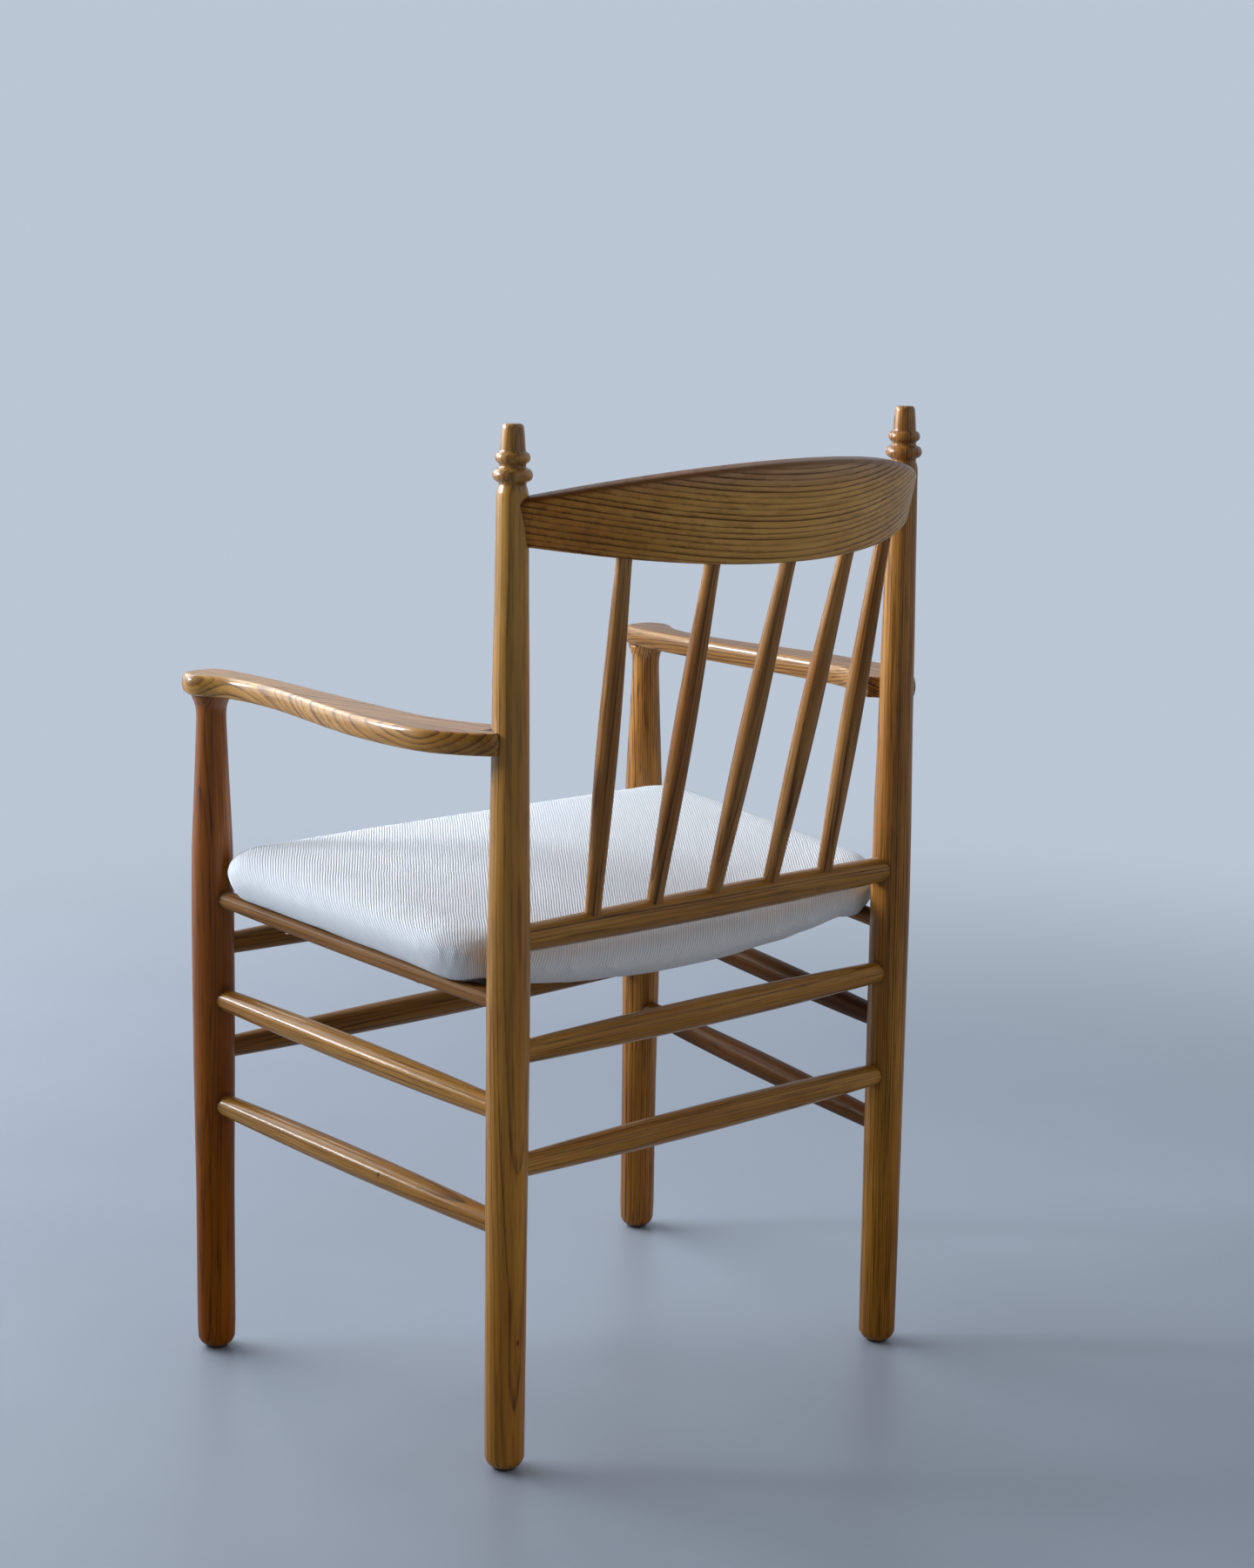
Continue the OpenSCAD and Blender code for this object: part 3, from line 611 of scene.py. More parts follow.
def crest_top(a):
    q = (a / 46.5) ** 2
    return 70.8 - 58 * q * (1.05 - 0.05 * q)


def crest_bottom(a):
    return -18.4 - 3.2 * (a / 46.5) ** 6


def crest_point(a, h, depth):
    """a in degrees from the middle, h mm up the leaning face, depth mm outward from the middle surface."""
    r = CREST_R + depth * MM
    t = math.radians(a)
    x = r * math.sin(t)
    y = r * math.cos(t) - CREST_R
    hh = h * MM
    return Vector((x, CREST_O.y + y * math.cos(LEAN) + hh * math.sin(LEAN),
                   CREST_O.z - y * math.sin(LEAN) + hh * math.cos(LEAN)))


def crest_section(a):
    """Closed section in (depth, h), with the top edge rounder than the lower one."""
    t, b, half = crest_top(a), crest_bottom(a), CREST_T / 2 / MM
    tall = t - b
    rt = min(5.6, tall * 0.3)
    rb = min(3.6, tall * 0.2)
    pts = []
    for k in range(8):  # front top corner
        q = math.radians(180 - 90 * k / 7)
        pts.append((-half + rt + rt * math.cos(q), t - rt + rt * math.sin(q)))
    for k in range(8):  # rear top corner
        q = math.radians(90 - 90 * k / 7)
        pts.append((half - rt + rt * math.cos(q), t - rt + rt * math.sin(q)))
    n = 14
    for k in range(1, n):  # rear face
        pts.append((half, t - rt + (b + rb - t + rt) * k / n))
    for k in range(6):
        q = math.radians(-90 * k / 5)
        pts.append((half - rb + rb * math.cos(q), b + rb + rb * math.sin(q)))
    for k in range(6):
        q = math.radians(-90 - 90 * k / 5)
        pts.append((-half + rb + rb * math.cos(q), b + rb + rb * math.sin(q)))
    for k in range(1, n):
        pts.append((-half, b + rb + (t - rt - b - rb) * k / n))
    return pts


verts, faces, glocal, from_top = [], [], [], []
angles = [x for x in np.linspace(-45.6, 45.6, 121)]
for a in angles:
    for d, h in crest_section(a):
        verts.append(crest_point(a, h, d))
        t = math.radians(a)
        r = CREST_R + d * MM
        glocal.append((r * math.sin(t), r * math.cos(t) - CREST_R, h * MM))
        from_top.append(crest_top(a) - h)
m = len(crest_section(0))
for j in range(len(angles) - 1):
    for k in range(m):
        k2 = (k + 1) % m
        faces.append((j * m + k, j * m + k2, (j + 1) * m + k2, (j + 1) * m + k))
for j, flip in ((0, False), (len(angles) - 1, True)):
    c = len(verts)
    ring = [j * m + k for k in range(m)]
    verts.append(sum((Vector(verts[q]) for q in ring), Vector()) / m)
    glocal.append(tuple(np.mean([glocal[q] for q in ring], axis=0)))
    from_top.append(20.0)
    for k in range(m):
        e = (ring[k], ring[(k + 1) % m])
        faces.append((c, e[1], e[0]) if flip else (c, e[0], e[1]))
crest = new_object("bent_crest_rail", verts, faces)
gl = np.array(glocal)
put_vectors(crest, "grain", np.stack([gl[:, 2] + 0.19 * gl[:, 1] + 0.30 + 0.012 * gl[:, 0], gl[:, 1] * 0.9, gl[:, 0] + 5.0], 1))
co = coords(crest)
end = np.minimum(np.hypot(co[:, 0] - RX, co[:, 1] - RY), np.hypot(co[:, 0] + RX, co[:, 1] - RY)) - 0.0142
put_floats(crest, "joint_dirt_and_shade", np.clip(1 - end / 0.004, 0, 1) ** 1.5 * 0.5)
# painted shade: the top 4.8 mm of the crest is marked for the darker, grainless band in its material
put_floats(crest, "plain", np.clip((4.8 - np.array(from_top)) / 2.6, 0, 1))
finish_piece(crest, M_CREST, "wood", "crest_rail")

# ---------------------------------------------------------------------------
# arms: sawn plates with a bull-nosed edge that sharpens towards the rear
# ---------------------------------------------------------------------------

ARM_OUTLINE = [
    (262, -216), (271, -217), (279, -216.2), (286, -213.5), (291, -208), (294.2, -200), (295, -191),
    (292, -182), (286, -173), (280.5, -163), (276.5, -150), (274, -130), (273.8, -100), (276, -75),
    (279.5, -50), (283.5, -25), (287.5, 0), (291, 25), (294, 50), (295.2, 75), (295, 100),
    (292.5, 130), (288, 150), (278.5, 169), (268, 184), (259, 194), (255, 197.6), (252.3, 199.3),
    (249.8, 200), (246, 199.8), (238, 196), (230, 182), (225, 174.5), (221, 171.5), (219.3, 169.5), (220.5, 165),
    (228, 149), (235.5, 130), (242, 103), (244, 75), (244.3, 50), (244, 0), (242.5, -50),
    (241, -100), (241, -140), (242.5, -175), (244.5, -195), (248.5, -207), (254.5, -213.5)]


def closed_spline(points, step):
    p = np.array(points, float)
    n = len(p)
    out = []
    for i in range(n):
        a, b, c, d = p[i - 1], p[i], p[(i + 1) % n], p[(i + 2) % n]
        k = max(2, int(np.linalg.norm(c - b) / step))
        for q in range(k):
            t = q / k
            out.append(0.5 * (2 * b + (c - a) * t + (2 * a - 5 * b + 4 * c - d) * t * t + (3 * b - a - 3 * c + d) * t ** 3))
    return np.array(out)


def ring_smooth(v, sigma):
    k = int(sigma * 3)
    w = np.exp(-0.5 * (np.arange(-k, k + 1) / sigma) ** 2)
    w /= w.sum()
    ext = np.concatenate([v[-k:], v, v[:k]])
    return np.stack([np.convolve(ext[:, c], w, "valid") for c in range(v.shape[1])], 1)


def arm(side, s):
    line = closed_spline(ARM_OUTLINE, 2.2)
    n = len(line)
    tan = np.roll(line, -1, 0) - np.roll(line, 1, 0)
    tan /= np.linalg.norm(tan, axis=1)[:, None]
    inward = np.stack([-tan[:, 1], tan[:, 0]], 1)
    area = 0.5 * np.sum(line[:, 0] * np.roll(line[:, 1], -1) - np.roll(line[:, 0], -1) * line[:, 1])
    if area < 0:
        inward = -inward
    inward = ring_smooth(inward, 3.0)
    inward /= np.linalg.norm(inward, axis=1)[:, None]
    y = line[:, 1]
    outer = line[:, 0] > 262
    # how round the upper and lower edges are along the arm
    ys = [-217, -180, -120, 0, 90, 150, 185, 205]
    rt = np.interp(y, ys, [6.5, 6.0, 5.5, 5.0, 4.5, 3.2, 2.6, 3.0])
    rt = np.where(outer, rt, rt * 0.8)
    rb = np.interp(y, ys, [6.5, 5.5, 4.2, 3.6, 3.6, 3.2, 3.0, 3.2])
    # the notched end is cut square
    cut = (y > 163) & (line[:, 0] < 245)
    rt, rb = np.where(cut, 1.2, rt), np.where(cut, 1.2, rb)
    rt = ring_smooth(rt[:, None], 4.0)[:, 0]
    rb = ring_smooth(rb[:, None], 4.0)[:, 0]
    thick = 19.5
    phi = math.radians(18)  # the side between the two fillets is crowned through this angle either way
    side_h = thick - (rt + rb) * (1 - math.sin(phi))
    side_r = side_h / 2 / math.sin(phi)
    side_r = np.where(cut, side_r * 50, side_r)
    loops = []  # (inset, height) per loop, from the flat top round the edge to the flat underside
    flat = np.where(cut, 3.0, 12.5)
    flat = ring_smooth(flat[:, None], 6.0)[:, 0]
    drop = side_r * (1 - math.cos(phi))
    drop = np.where(cut, 0, drop)
    rim_t, rim_b = drop + rt * math.cos(phi), drop + rb * math.cos(phi)
    flat = np.maximum(flat, np.maximum(rim_t, rim_b) + 0.6)
    loops.append((flat, np.full(n, thick)))
    loops.append((flat * 0.35 + rim_t * 0.65 + 0.2, np.full(n, thick)))
    for q in np.linspace(math.pi / 2, phi, 8):
        loops.append((rim_t - rt * math.cos(q), thick - rt + rt * math.sin(q)))
    mid_z = rb * (1 - math.sin(phi)) + side_h / 2
    for q in np.linspace(phi, -phi, 7)[1:-1]:
        loops.append((np.where(cut, 0, side_r * (1 - math.cos(q))), mid_z + np.where(cut, side_h / 2 * q / phi, side_r * math.sin(q))))
    for q in np.linspace(-phi, -math.pi / 2, 8):
        loops.append((rim_b - rb * math.cos(q), rb + rb * math.sin(q)))
    loops.append((flat * 0.35 + rim_b * 0.65 + 0.2, np.zeros(n)))
    loops.append((flat, np.zeros(n)))
    verts, faces = [], []
    fall = math.radians(0.5)
    y0 = -195.5
    for inset, h in loops:
        p = line + inward * inset[:, None]
        for (x, yy), z in zip(p, h):
            zz = 630 + z - (yy - y0) * math.tan(fall)
            verts.append((s * x * MM, SHIFT + yy * MM, ARM_LOW + (zz - 630) * MM))
    L = len(loops)
    for a in range(L - 1):
        for k in range(n):
            k2 = (k + 1) % n
            f = (a * n + k, a * n + k2, (a + 1) * n + k2, (a + 1) * n + k)
            faces.append(f if s * area < 0 else f[::-1])
    obj = new_object(f"shaped_arm_{side}", verts, faces)
    bm = bmesh.new()
    bm.from_mesh(obj.data)
    bm.verts.ensure_lookup_table()
    for base in (0, (L - 1) * n):
        edges = []
        for k in range(n):
            e = bm.edges.get((bm.verts[base + k], bm.verts[base + (k + 1) % n]))
            if e:
                edges.append(e)
        bmesh.ops.triangle_fill(bm, use_beauty=True, use_dissolve=False, edges=edges)
    # the notch is cut by the rear post itself
    bmesh.ops.recalc_face_normals(bm, faces=bm.faces)
    bm.to_mesh(obj.data)
    bm.free()
    obj.data.shade_smooth()
    return obj


def notch(obj, s):
    """Cuts the rear post's cone out of the arm, a hair wider than the post."""
    mesh = bpy.data.meshes.new("cutter")
    bm = bmesh.new()
    bmesh.ops.create_cone(bm, cap_ends=True, segments=96, radius1=0.01622, radius2=0.01542, depth=0.085,
                          matrix=Matrix.Translation((s * RX, RY, 0.6475)))
    bm.to_mesh(mesh)
    bm.free()
    cutter = bpy.data.objects.new("cutter", mesh)
    scene.collection.objects.link(cutter)
    mod = obj.modifiers.new("notch", "BOOLEAN")
    mod.object, mod.operation, mod.solver = cutter, "DIFFERENCE", "EXACT"
    bpy.context.view_layer.update()
    dg = bpy.context.evaluated_depsgraph_get()
    made = bpy.data.meshes.new_from_object(obj.evaluated_get(dg))
    obj.modifiers.clear()
    old = obj.data
    obj.data = made
    bpy.data.meshes.remove(old)
    bpy.data.objects.remove(cutter)
    bpy.data.meshes.remove(mesh)


for s, side in ((1, "left"), (-1, "right")):
    obj = arm(side, s)
    notch(obj, s)
    co = coords(obj)
    p = np.stack([(s * co[:, 0] - 0.268), co[:, 1] - SHIFT, co[:, 2] - ARM_LOW], 1)
    if s > 0:
        nrm = np.array([0.80, 0.20, 0.56])
    else:
        nrm = np.array([0.72, -0.03, 0.69])
    nrm /= np.linalg.norm(nrm)
    g = np.array([0, 1.0, 0]) - nrm[1] * nrm
    g /= np.linalg.norm(g)
    b = np.cross(nrm, g)
    put_vectors(obj, "grain", np.stack([p @ nrm + 0.16, p @ b, p @ g + 3.0 + s], 1))
    d = np.hypot(co[:, 0] - s * RX, co[:, 1] - RY) - 0.0160
    # painted shade: the sides, where the normal turns away from up, are darker than the flat top
    nz = np.empty(len(obj.data.vertices) * 3, np.float32)
    obj.data.vertices.foreach_get("normal", nz)
    painted_side_shade = np.clip((0.80 - np.abs(nz.reshape(-1, 3)[:, 2])) / 0.5, 0, 1) * (0.25 if s > 0 else 0.20)
    # painted shadow: the far arm's rear end is darkened further
    if s < 0:
        painted_side_shade += np.clip((co[:, 1] - SHIFT - 0.140) / 0.050, 0, 1) * 0.22
    put_floats(obj, "joint_dirt_and_shade", np.maximum(np.clip(1 - d / 0.0025, 0, 1) ** 1.5 * 0.5, painted_side_shade))
    finish_piece(obj, M_ARM if s > 0 else M_ARM_FAR, "wood", f"arm_{side}")

# ---------------------------------------------------------------------------
# seat pad: a crowned, dipped cushion, inflated as cloth
# ---------------------------------------------------------------------------

PAD = dict(wr=263.8, wf=290.4, wb=2.7, yr=178.5, yf=-178.0, rc=58.0, rf=46.7, t=45.1, e=43.7,
           cr=38.8, cf=32.0, cm=-3.3, sr=39.6, sf=3.4, p=2.3, bow=6.4, dip_mid=-25.0)


def rail_top(y):
    """x and z of the seat rail's axis at y (mm, frame centred)."""
    t = (195.5 - y) / 391
    return 231.5 + 36 * t, (RAIL_Z["seat_rail_left"][0] + (RAIL_Z["seat_rail_left"][1] - RAIL_Z["seat_rail_left"][0]) * t) / MM


def pad_half_width(y):
    P = PAD
    t = (P["yr"] - y) / (P["yr"] - P["yf"])
    return P["wr"] + (P["wf"] - P["wr"]) * t + 4 * P["wb"] * t * (1 - t)


def pad_mid(x, y):
    P = PAD
    t = (P["yr"] - y) / (P["yr"] - P["yf"])
    s = P["sr"] + (P["sf"] - P["sr"]) * t + 4 * P["dip_mid"] * t * (1 - t)
    w = abs(pad_half_width(y))
    return (rail_top(y)[1] + P["cr"] + (P["cf"] - P["cr"]) * t + 4 * P["cm"] * t * (1 - t)
            - s * (1 - min(1.2, abs(x / w)) ** P["p"]))


def pad_outline():
    P = PAD
    cor = [(pad_half_width(P["yf"]), P["yf"], P["rf"]), (-pad_half_width(P["yf"]), P["yf"], P["rf"]),
           (-pad_half_width(P["yr"]), P["yr"], P["rc"]), (pad_half_width(P["yr"]), P["yr"], P["rc"])]
    pts = []
    for i in range(4):
        p0 = np.array(cor[i][:2])
        a = np.array(cor[i - 1][:2]) - p0
        b = np.array(cor[(i + 1) % 4][:2]) - p0
        a /= np.linalg.norm(a)
        b /= np.linalg.norm(b)
        r = cor[i][2]
        ang = math.acos(max(-1, min(1, a @ b)))
        d = r / math.tan(ang / 2)
        c = p0 + (a + b) / np.linalg.norm(a + b) * r / math.sin(ang / 2)
        s, f = p0 + a * d, p0 + b * d
        a0 = math.atan2(*(s - c)[::-1])
        a1 = math.atan2(*(f - c)[::-1])
        da = (a1 - a0 + math.pi) % (2 * math.pi) - math.pi
        for t in np.linspace(0, 1, 15):
            pts.append(c + r * np.array([math.cos(a0 + da * t), math.sin(a0 + da * t)]))
    pts = np.array(pts)
    out = []
    for i in range(len(pts)):
        a, b = pts[i], pts[(i + 1) % len(pts)]
        L = np.linalg.norm(b - a)
        n = max(1, int(L / 7))
        for t in range(n):
            out.append(a + (b - a) * t / n)
    out = np.array(out)
    fy = np.clip((-out[:, 1] - 148) / 30, 0, 1)
    out[:, 1] -= P["bow"] * np.clip(1 - (out[:, 0] / pad_half_width(P["yf"])) ** 2, 0, 1) * fy
    return out


def pad_mesh(inset, name):
    """The pad's own surface, drawn in by inset mm, with cloth coordinates (u, v) that follow the fabric round its edges."""
    P = PAD
    line = pad_outline()
    tan = np.roll(line, -1, 0) - np.roll(line, 1, 0)
    tan /= np.linalg.norm(tan, axis=1)[:, None]
    nrm = np.stack([-tan[:, 1], tan[:, 0]], 1)
    if (nrm * -line).sum() < 0:
        nrm = -nrm
    e, h = P["e"] - inset, P["t"] / 2 - inset
    rows, cloth = [], []
    m = 14
    base = line + nrm * inset
    ell = []
    prev = None
    th = np.linspace(math.pi / 2, -math.pi / 2, 2 * m + 1)
    # arc length of the quarter ellipse from the top inwards to each row
    arc = [0.0]
    for k in range(1, len(th)):
        n = 8
        q = np.linspace(th[k - 1], th[k], n)
        dx = np.diff(-e * np.cos(q))
        dz = np.diff(h * np.sin(q))
        arc.append(arc[-1] + float(np.hypot(dx, dz).sum()))
    for k, a in enumerate(th):
        d = e * (1 - math.cos(a))
        pos = base + nrm * d
        z = np.array([pad_mid(x, y) for x, y in pos]) + h * math.sin(a)
        rows.append(np.column_stack([pos, z]))
        start = base + nrm * e
        cloth.append(start - nrm * arc[k])
    top, bottom = rows[0], rows[-1]
    verts, uv = [], []
    for r, c in zip(rows, cloth):
        verts += list(r)
        uv += list(c)
    n = len(line)
    faces = []
    for a in range(len(rows) - 1):
        for k in range(n):
            k2 = (k + 1) % n
            faces.append((a * n + k, (a + 1) * n + k, (a + 1) * n + k2, a * n + k2))
    inner = base + nrm * e
    fr = [0.06, 0.13, 0.22, 0.33, 0.45, 0.58, 0.72, 0.86]
    for top_side in (True, False):
        last = 0 if top_side else (len(rows) - 1) * n
        for f in fr:
            pos = inner * (1 - f)
            z = np.array([pad_mid(x, y) for x, y in pos]) + (h if top_side else -h)
            here = len(verts)
            verts += list(np.column_stack([pos, z]))
            if top_side:
                uv += list(pos)
            else:
                uv += list(inner - nrm * arc[-1] + (pos - inner))
            for k in range(n):
                k2 = (k + 1) % n
                q = (last + k, last + k2, here + k2, here + k)
                faces.append(q if top_side else q[::-1])
            last = here
        c = len(verts)
        verts.append(np.array([0, 0, pad_mid(0, 0) + (h if top_side else -h)]))
        uv.append(np.array([0.0, 0.0]))
        for k in range(n):
            k2 = (k + 1) % n
            q = (last + k, last + k2, c)
            faces.append(q if top_side else q[::-1])
    v = np.array(verts) * MM
    v[:, 1] += SHIFT
    obj = new_object(name, v, faces)
    return obj, np.array(uv) * MM, faces


def carry_cloth(target, source, uv):
    """Cloth coordinates for each vertex of target, from the nearest place on the source surface."""
    co = coords(source)
    polys = [tuple(p.vertices) for p in source.data.polygons]
    tris, owner = [], []
    for p in polys:
        for k in range(1, len(p) - 1):
            tris.append((p[0], p[k], p[k + 1]))
    tree = BVHTree.FromPolygons([Vector(c) for c in co], tris)
    out = np.zeros((len(target.data.vertices), 2))
    tc = coords(target)
    for i, c in enumerate(tc):
        loc, nn, idx, dist = tree.find_nearest(Vector(c))
        a, b, d = tris[idx]
        A, B, D = co[a], co[b], co[d]
        v0, v1, v2 = B - A, D - A, np.array(loc) - A
        d00, d01, d11, d20, d21 = v0 @ v0, v0 @ v1, v1 @ v1, v2 @ v0, v2 @ v1
        den = d00 * d11 - d01 * d01
        if abs(den) < 1e-18:
            out[i] = uv[a]
            continue
        w1 = (d11 * d20 - d01 * d21) / den
        w2 = (d00 * d21 - d01 * d20) / den
        out[i] = uv[a] * (1 - w1 - w2) + uv[b] * w1 + uv[d] * w2
    return out


def soften(values, obj, rounds, keep=0.35):
    """Evens a field over the mesh's own edges."""
    edges = np.empty(len(obj.data.edges) * 2, np.int32)
    obj.data.edges.foreach_get("vertices", edges)
    edges = edges.reshape(-1, 2)
    count = np.maximum(np.bincount(edges.ravel(), minlength=len(values)).astype(float), 1)[:, None]
    for _ in range(rounds):
        total = np.zeros_like(values)
        np.add.at(total, edges[:, 0], values[edges[:, 1]])
        np.add.at(total, edges[:, 1], values[edges[:, 0]])
        values = keep * values + (1 - keep) * total / count
    return values


def settle(co, obj, guide, rounds=30):
    """Brings the inflated pad back to its upholstered outline in the large, and keeps the cloth's own small folds."""
    gc = coords(guide)
    tree = BVHTree.FromPolygons([Vector(c) for c in gc], [tuple(p.vertices) for p in guide.data.polygons])
    for step in range(3):
        pull = np.array([np.array(tree.find_nearest(Vector(c))[0]) - c for c in co])
        co = co + soften(pull, obj, rounds)
    return co


outer, outer_uv, _ = pad_mesh(0.0, "pad_outer_guide")
pad, _, _ = pad_mesh(3.6, "upholstered_seat_pad")
bpy.context.view_layer.objects.active = pad
mod = pad.modifiers.new("remesh", "REMESH")
mod.mode, mod.voxel_size = "VOXEL", 0.0055
dg = bpy.context.evaluated_depsgraph_get()
made = bpy.data.meshes.new_from_object(pad.evaluated_get(dg))
pad.modifiers.clear()
pad.data = made
start = coords(pad)
cloth = pad.modifiers.new("cloth", "CLOTH")
cs = cloth.settings
cs.quality = 5
cs.mass = 0.25
cs.tension_stiffness = cs.compression_stiffness = 18
cs.shear_stiffness = 7
cs.bending_stiffness = 0.8
cs.use_pressure = True
cs.uniform_pressure_force = 4.0
cs.effector_weights.gravity = 0.0
cloth.collision_settings.use_collision = False
cloth.collision_settings.use_self_collision = False
cloth.point_cache.frame_start, cloth.point_cache.frame_end = 1, 20
for f in range(1, 21):
    scene.frame_set(f)
dg = bpy.context.evaluated_depsgraph_get()
e = pad.evaluated_get(dg)
moved = np.empty(len(pad.data.vertices) * 3, np.float32)
e.data.vertices.foreach_get("co", moved)
moved = moved.reshape(-1, 3).astype(float)
pad.modifiers.clear()
scene.frame_set(1)
d = moved - start
L = np.linalg.norm(d, axis=1)
cap = 0.0062
soft = cap * np.tanh(L / cap)
d *= (soft / np.maximum(L, 1e-9))[:, None]
new = start + soften(d, pad, 10)
new = settle(new, pad, outer)
pad.data.vertices.foreach_set("co", new.astype(np.float32).ravel())
pad.data.update()
sub = pad.modifiers.new("sub", "SUBSURF")
sub.levels = sub.render_levels = 1
dg = bpy.context.evaluated_depsgraph_get()
made = bpy.data.meshes.new_from_object(pad.evaluated_get(dg))
pad.modifiers.clear()
pad.data = made
pad.data.shade_smooth()
uv = carry_cloth(pad, outer, outer_uv)
put_vectors(pad, "cloth", np.column_stack([uv, np.zeros(len(uv))]))
bpy.data.objects.remove(outer)

# rests on the rails: where the pad would sink into a rail it is pressed up
co = coords(pad)
# the remesh's grid leaves small steps along the slanting sides: each side becomes one smooth sweep
nrm = np.empty(len(co) * 3)
pad.data.vertices.foreach_get("normal", nrm)
side_n = nrm.reshape(-1, 3)[:, 0]
along = (co[:, 1] - SHIFT) / MM
above = co[:, 2] / MM - np.array([pad_mid(x / MM, (y - SHIFT) / MM) for x, y in co[:, :2]])
for sgn in (-1, 1):
    sel = (sgn * side_n > 0.25) & (np.abs(along) < 134)
    p, q = along[sel] / 150, above[sel] / 25
    basis = np.column_stack([p ** i * q ** j for i in range(4) for j in range(7)])
    wide = sgn * co[sel, 0] / MM
    sweep = basis @ np.linalg.lstsq(basis, wide, rcond=None)[0]
    part = np.clip((sgn * side_n[sel] - 0.35) / 0.3, 0, 1) * np.clip((126 - np.abs(along[sel])) / 18, 0, 1)
    co[sel, 0] -= sgn * part * np.clip(wide - sweep, -2.5, 2.5) * MM
# the underside is drawn down on to the rails, tightest at the rear corners
inner = np.array([pad_mid(x / MM, (y - SHIFT) / MM) for x, y in co[:, :2]])
across = np.array([abs(abs(x) / MM - rail_top((y - SHIFT) / MM)[0]) for x, y in co[:, :2]])
back = np.clip(((co[:, 1] - SHIFT) / MM - 90) / 60, 0, 1)
tuck = np.clip((38 - across) / 22, 0, 1) * np.clip((inner - 5 - co[:, 2] / MM) / 8, 0, 1)
co[:, 2] -= soften((tuck * (5.0 + 2.5 * back) * MM)[:, None], pad, 8)[:, 0]
need = np.zeros((len(co), 1))
for i, (x, y, z) in enumerate(co):
    yy = (y - SHIFT) / MM
    rx, rz = rail_top(yy)
    dx = abs(abs(x) / MM - rx)
    if dx < 10.4:
        lift = (rz + math.sqrt(10.4 ** 2 - dx ** 2)) * MM
        if z < lift and z > (rz - 12) * MM:
            need[i] = lift - z
co[:, 2] += np.maximum(need, soften(need, pad, 14) * 1.2)[:, 0]
pad.data.vertices.foreach_set("co", co.astype(np.float32).ravel())
pad.data.update()
# no light gets between the pad and its rails; the gap is deeper towards the back
rail_crevice_shadow = np.zeros(len(co))
for i, (x, y, z) in enumerate(co):
    yy = (y - SHIFT) / MM
    rx, rz = rail_top(yy)
    gap = math.hypot(abs(x) / MM - rx, z / MM - rz) - 10.0
    reach = 5.8 + 1.6 * min(max((yy + 130) / 170, 0), 1)
    rail_crevice_shadow[i] = min(max(1.15 - gap / reach, 0), 1)
put_floats(pad, "rail_crevice_shadow", rail_crevice_shadow)


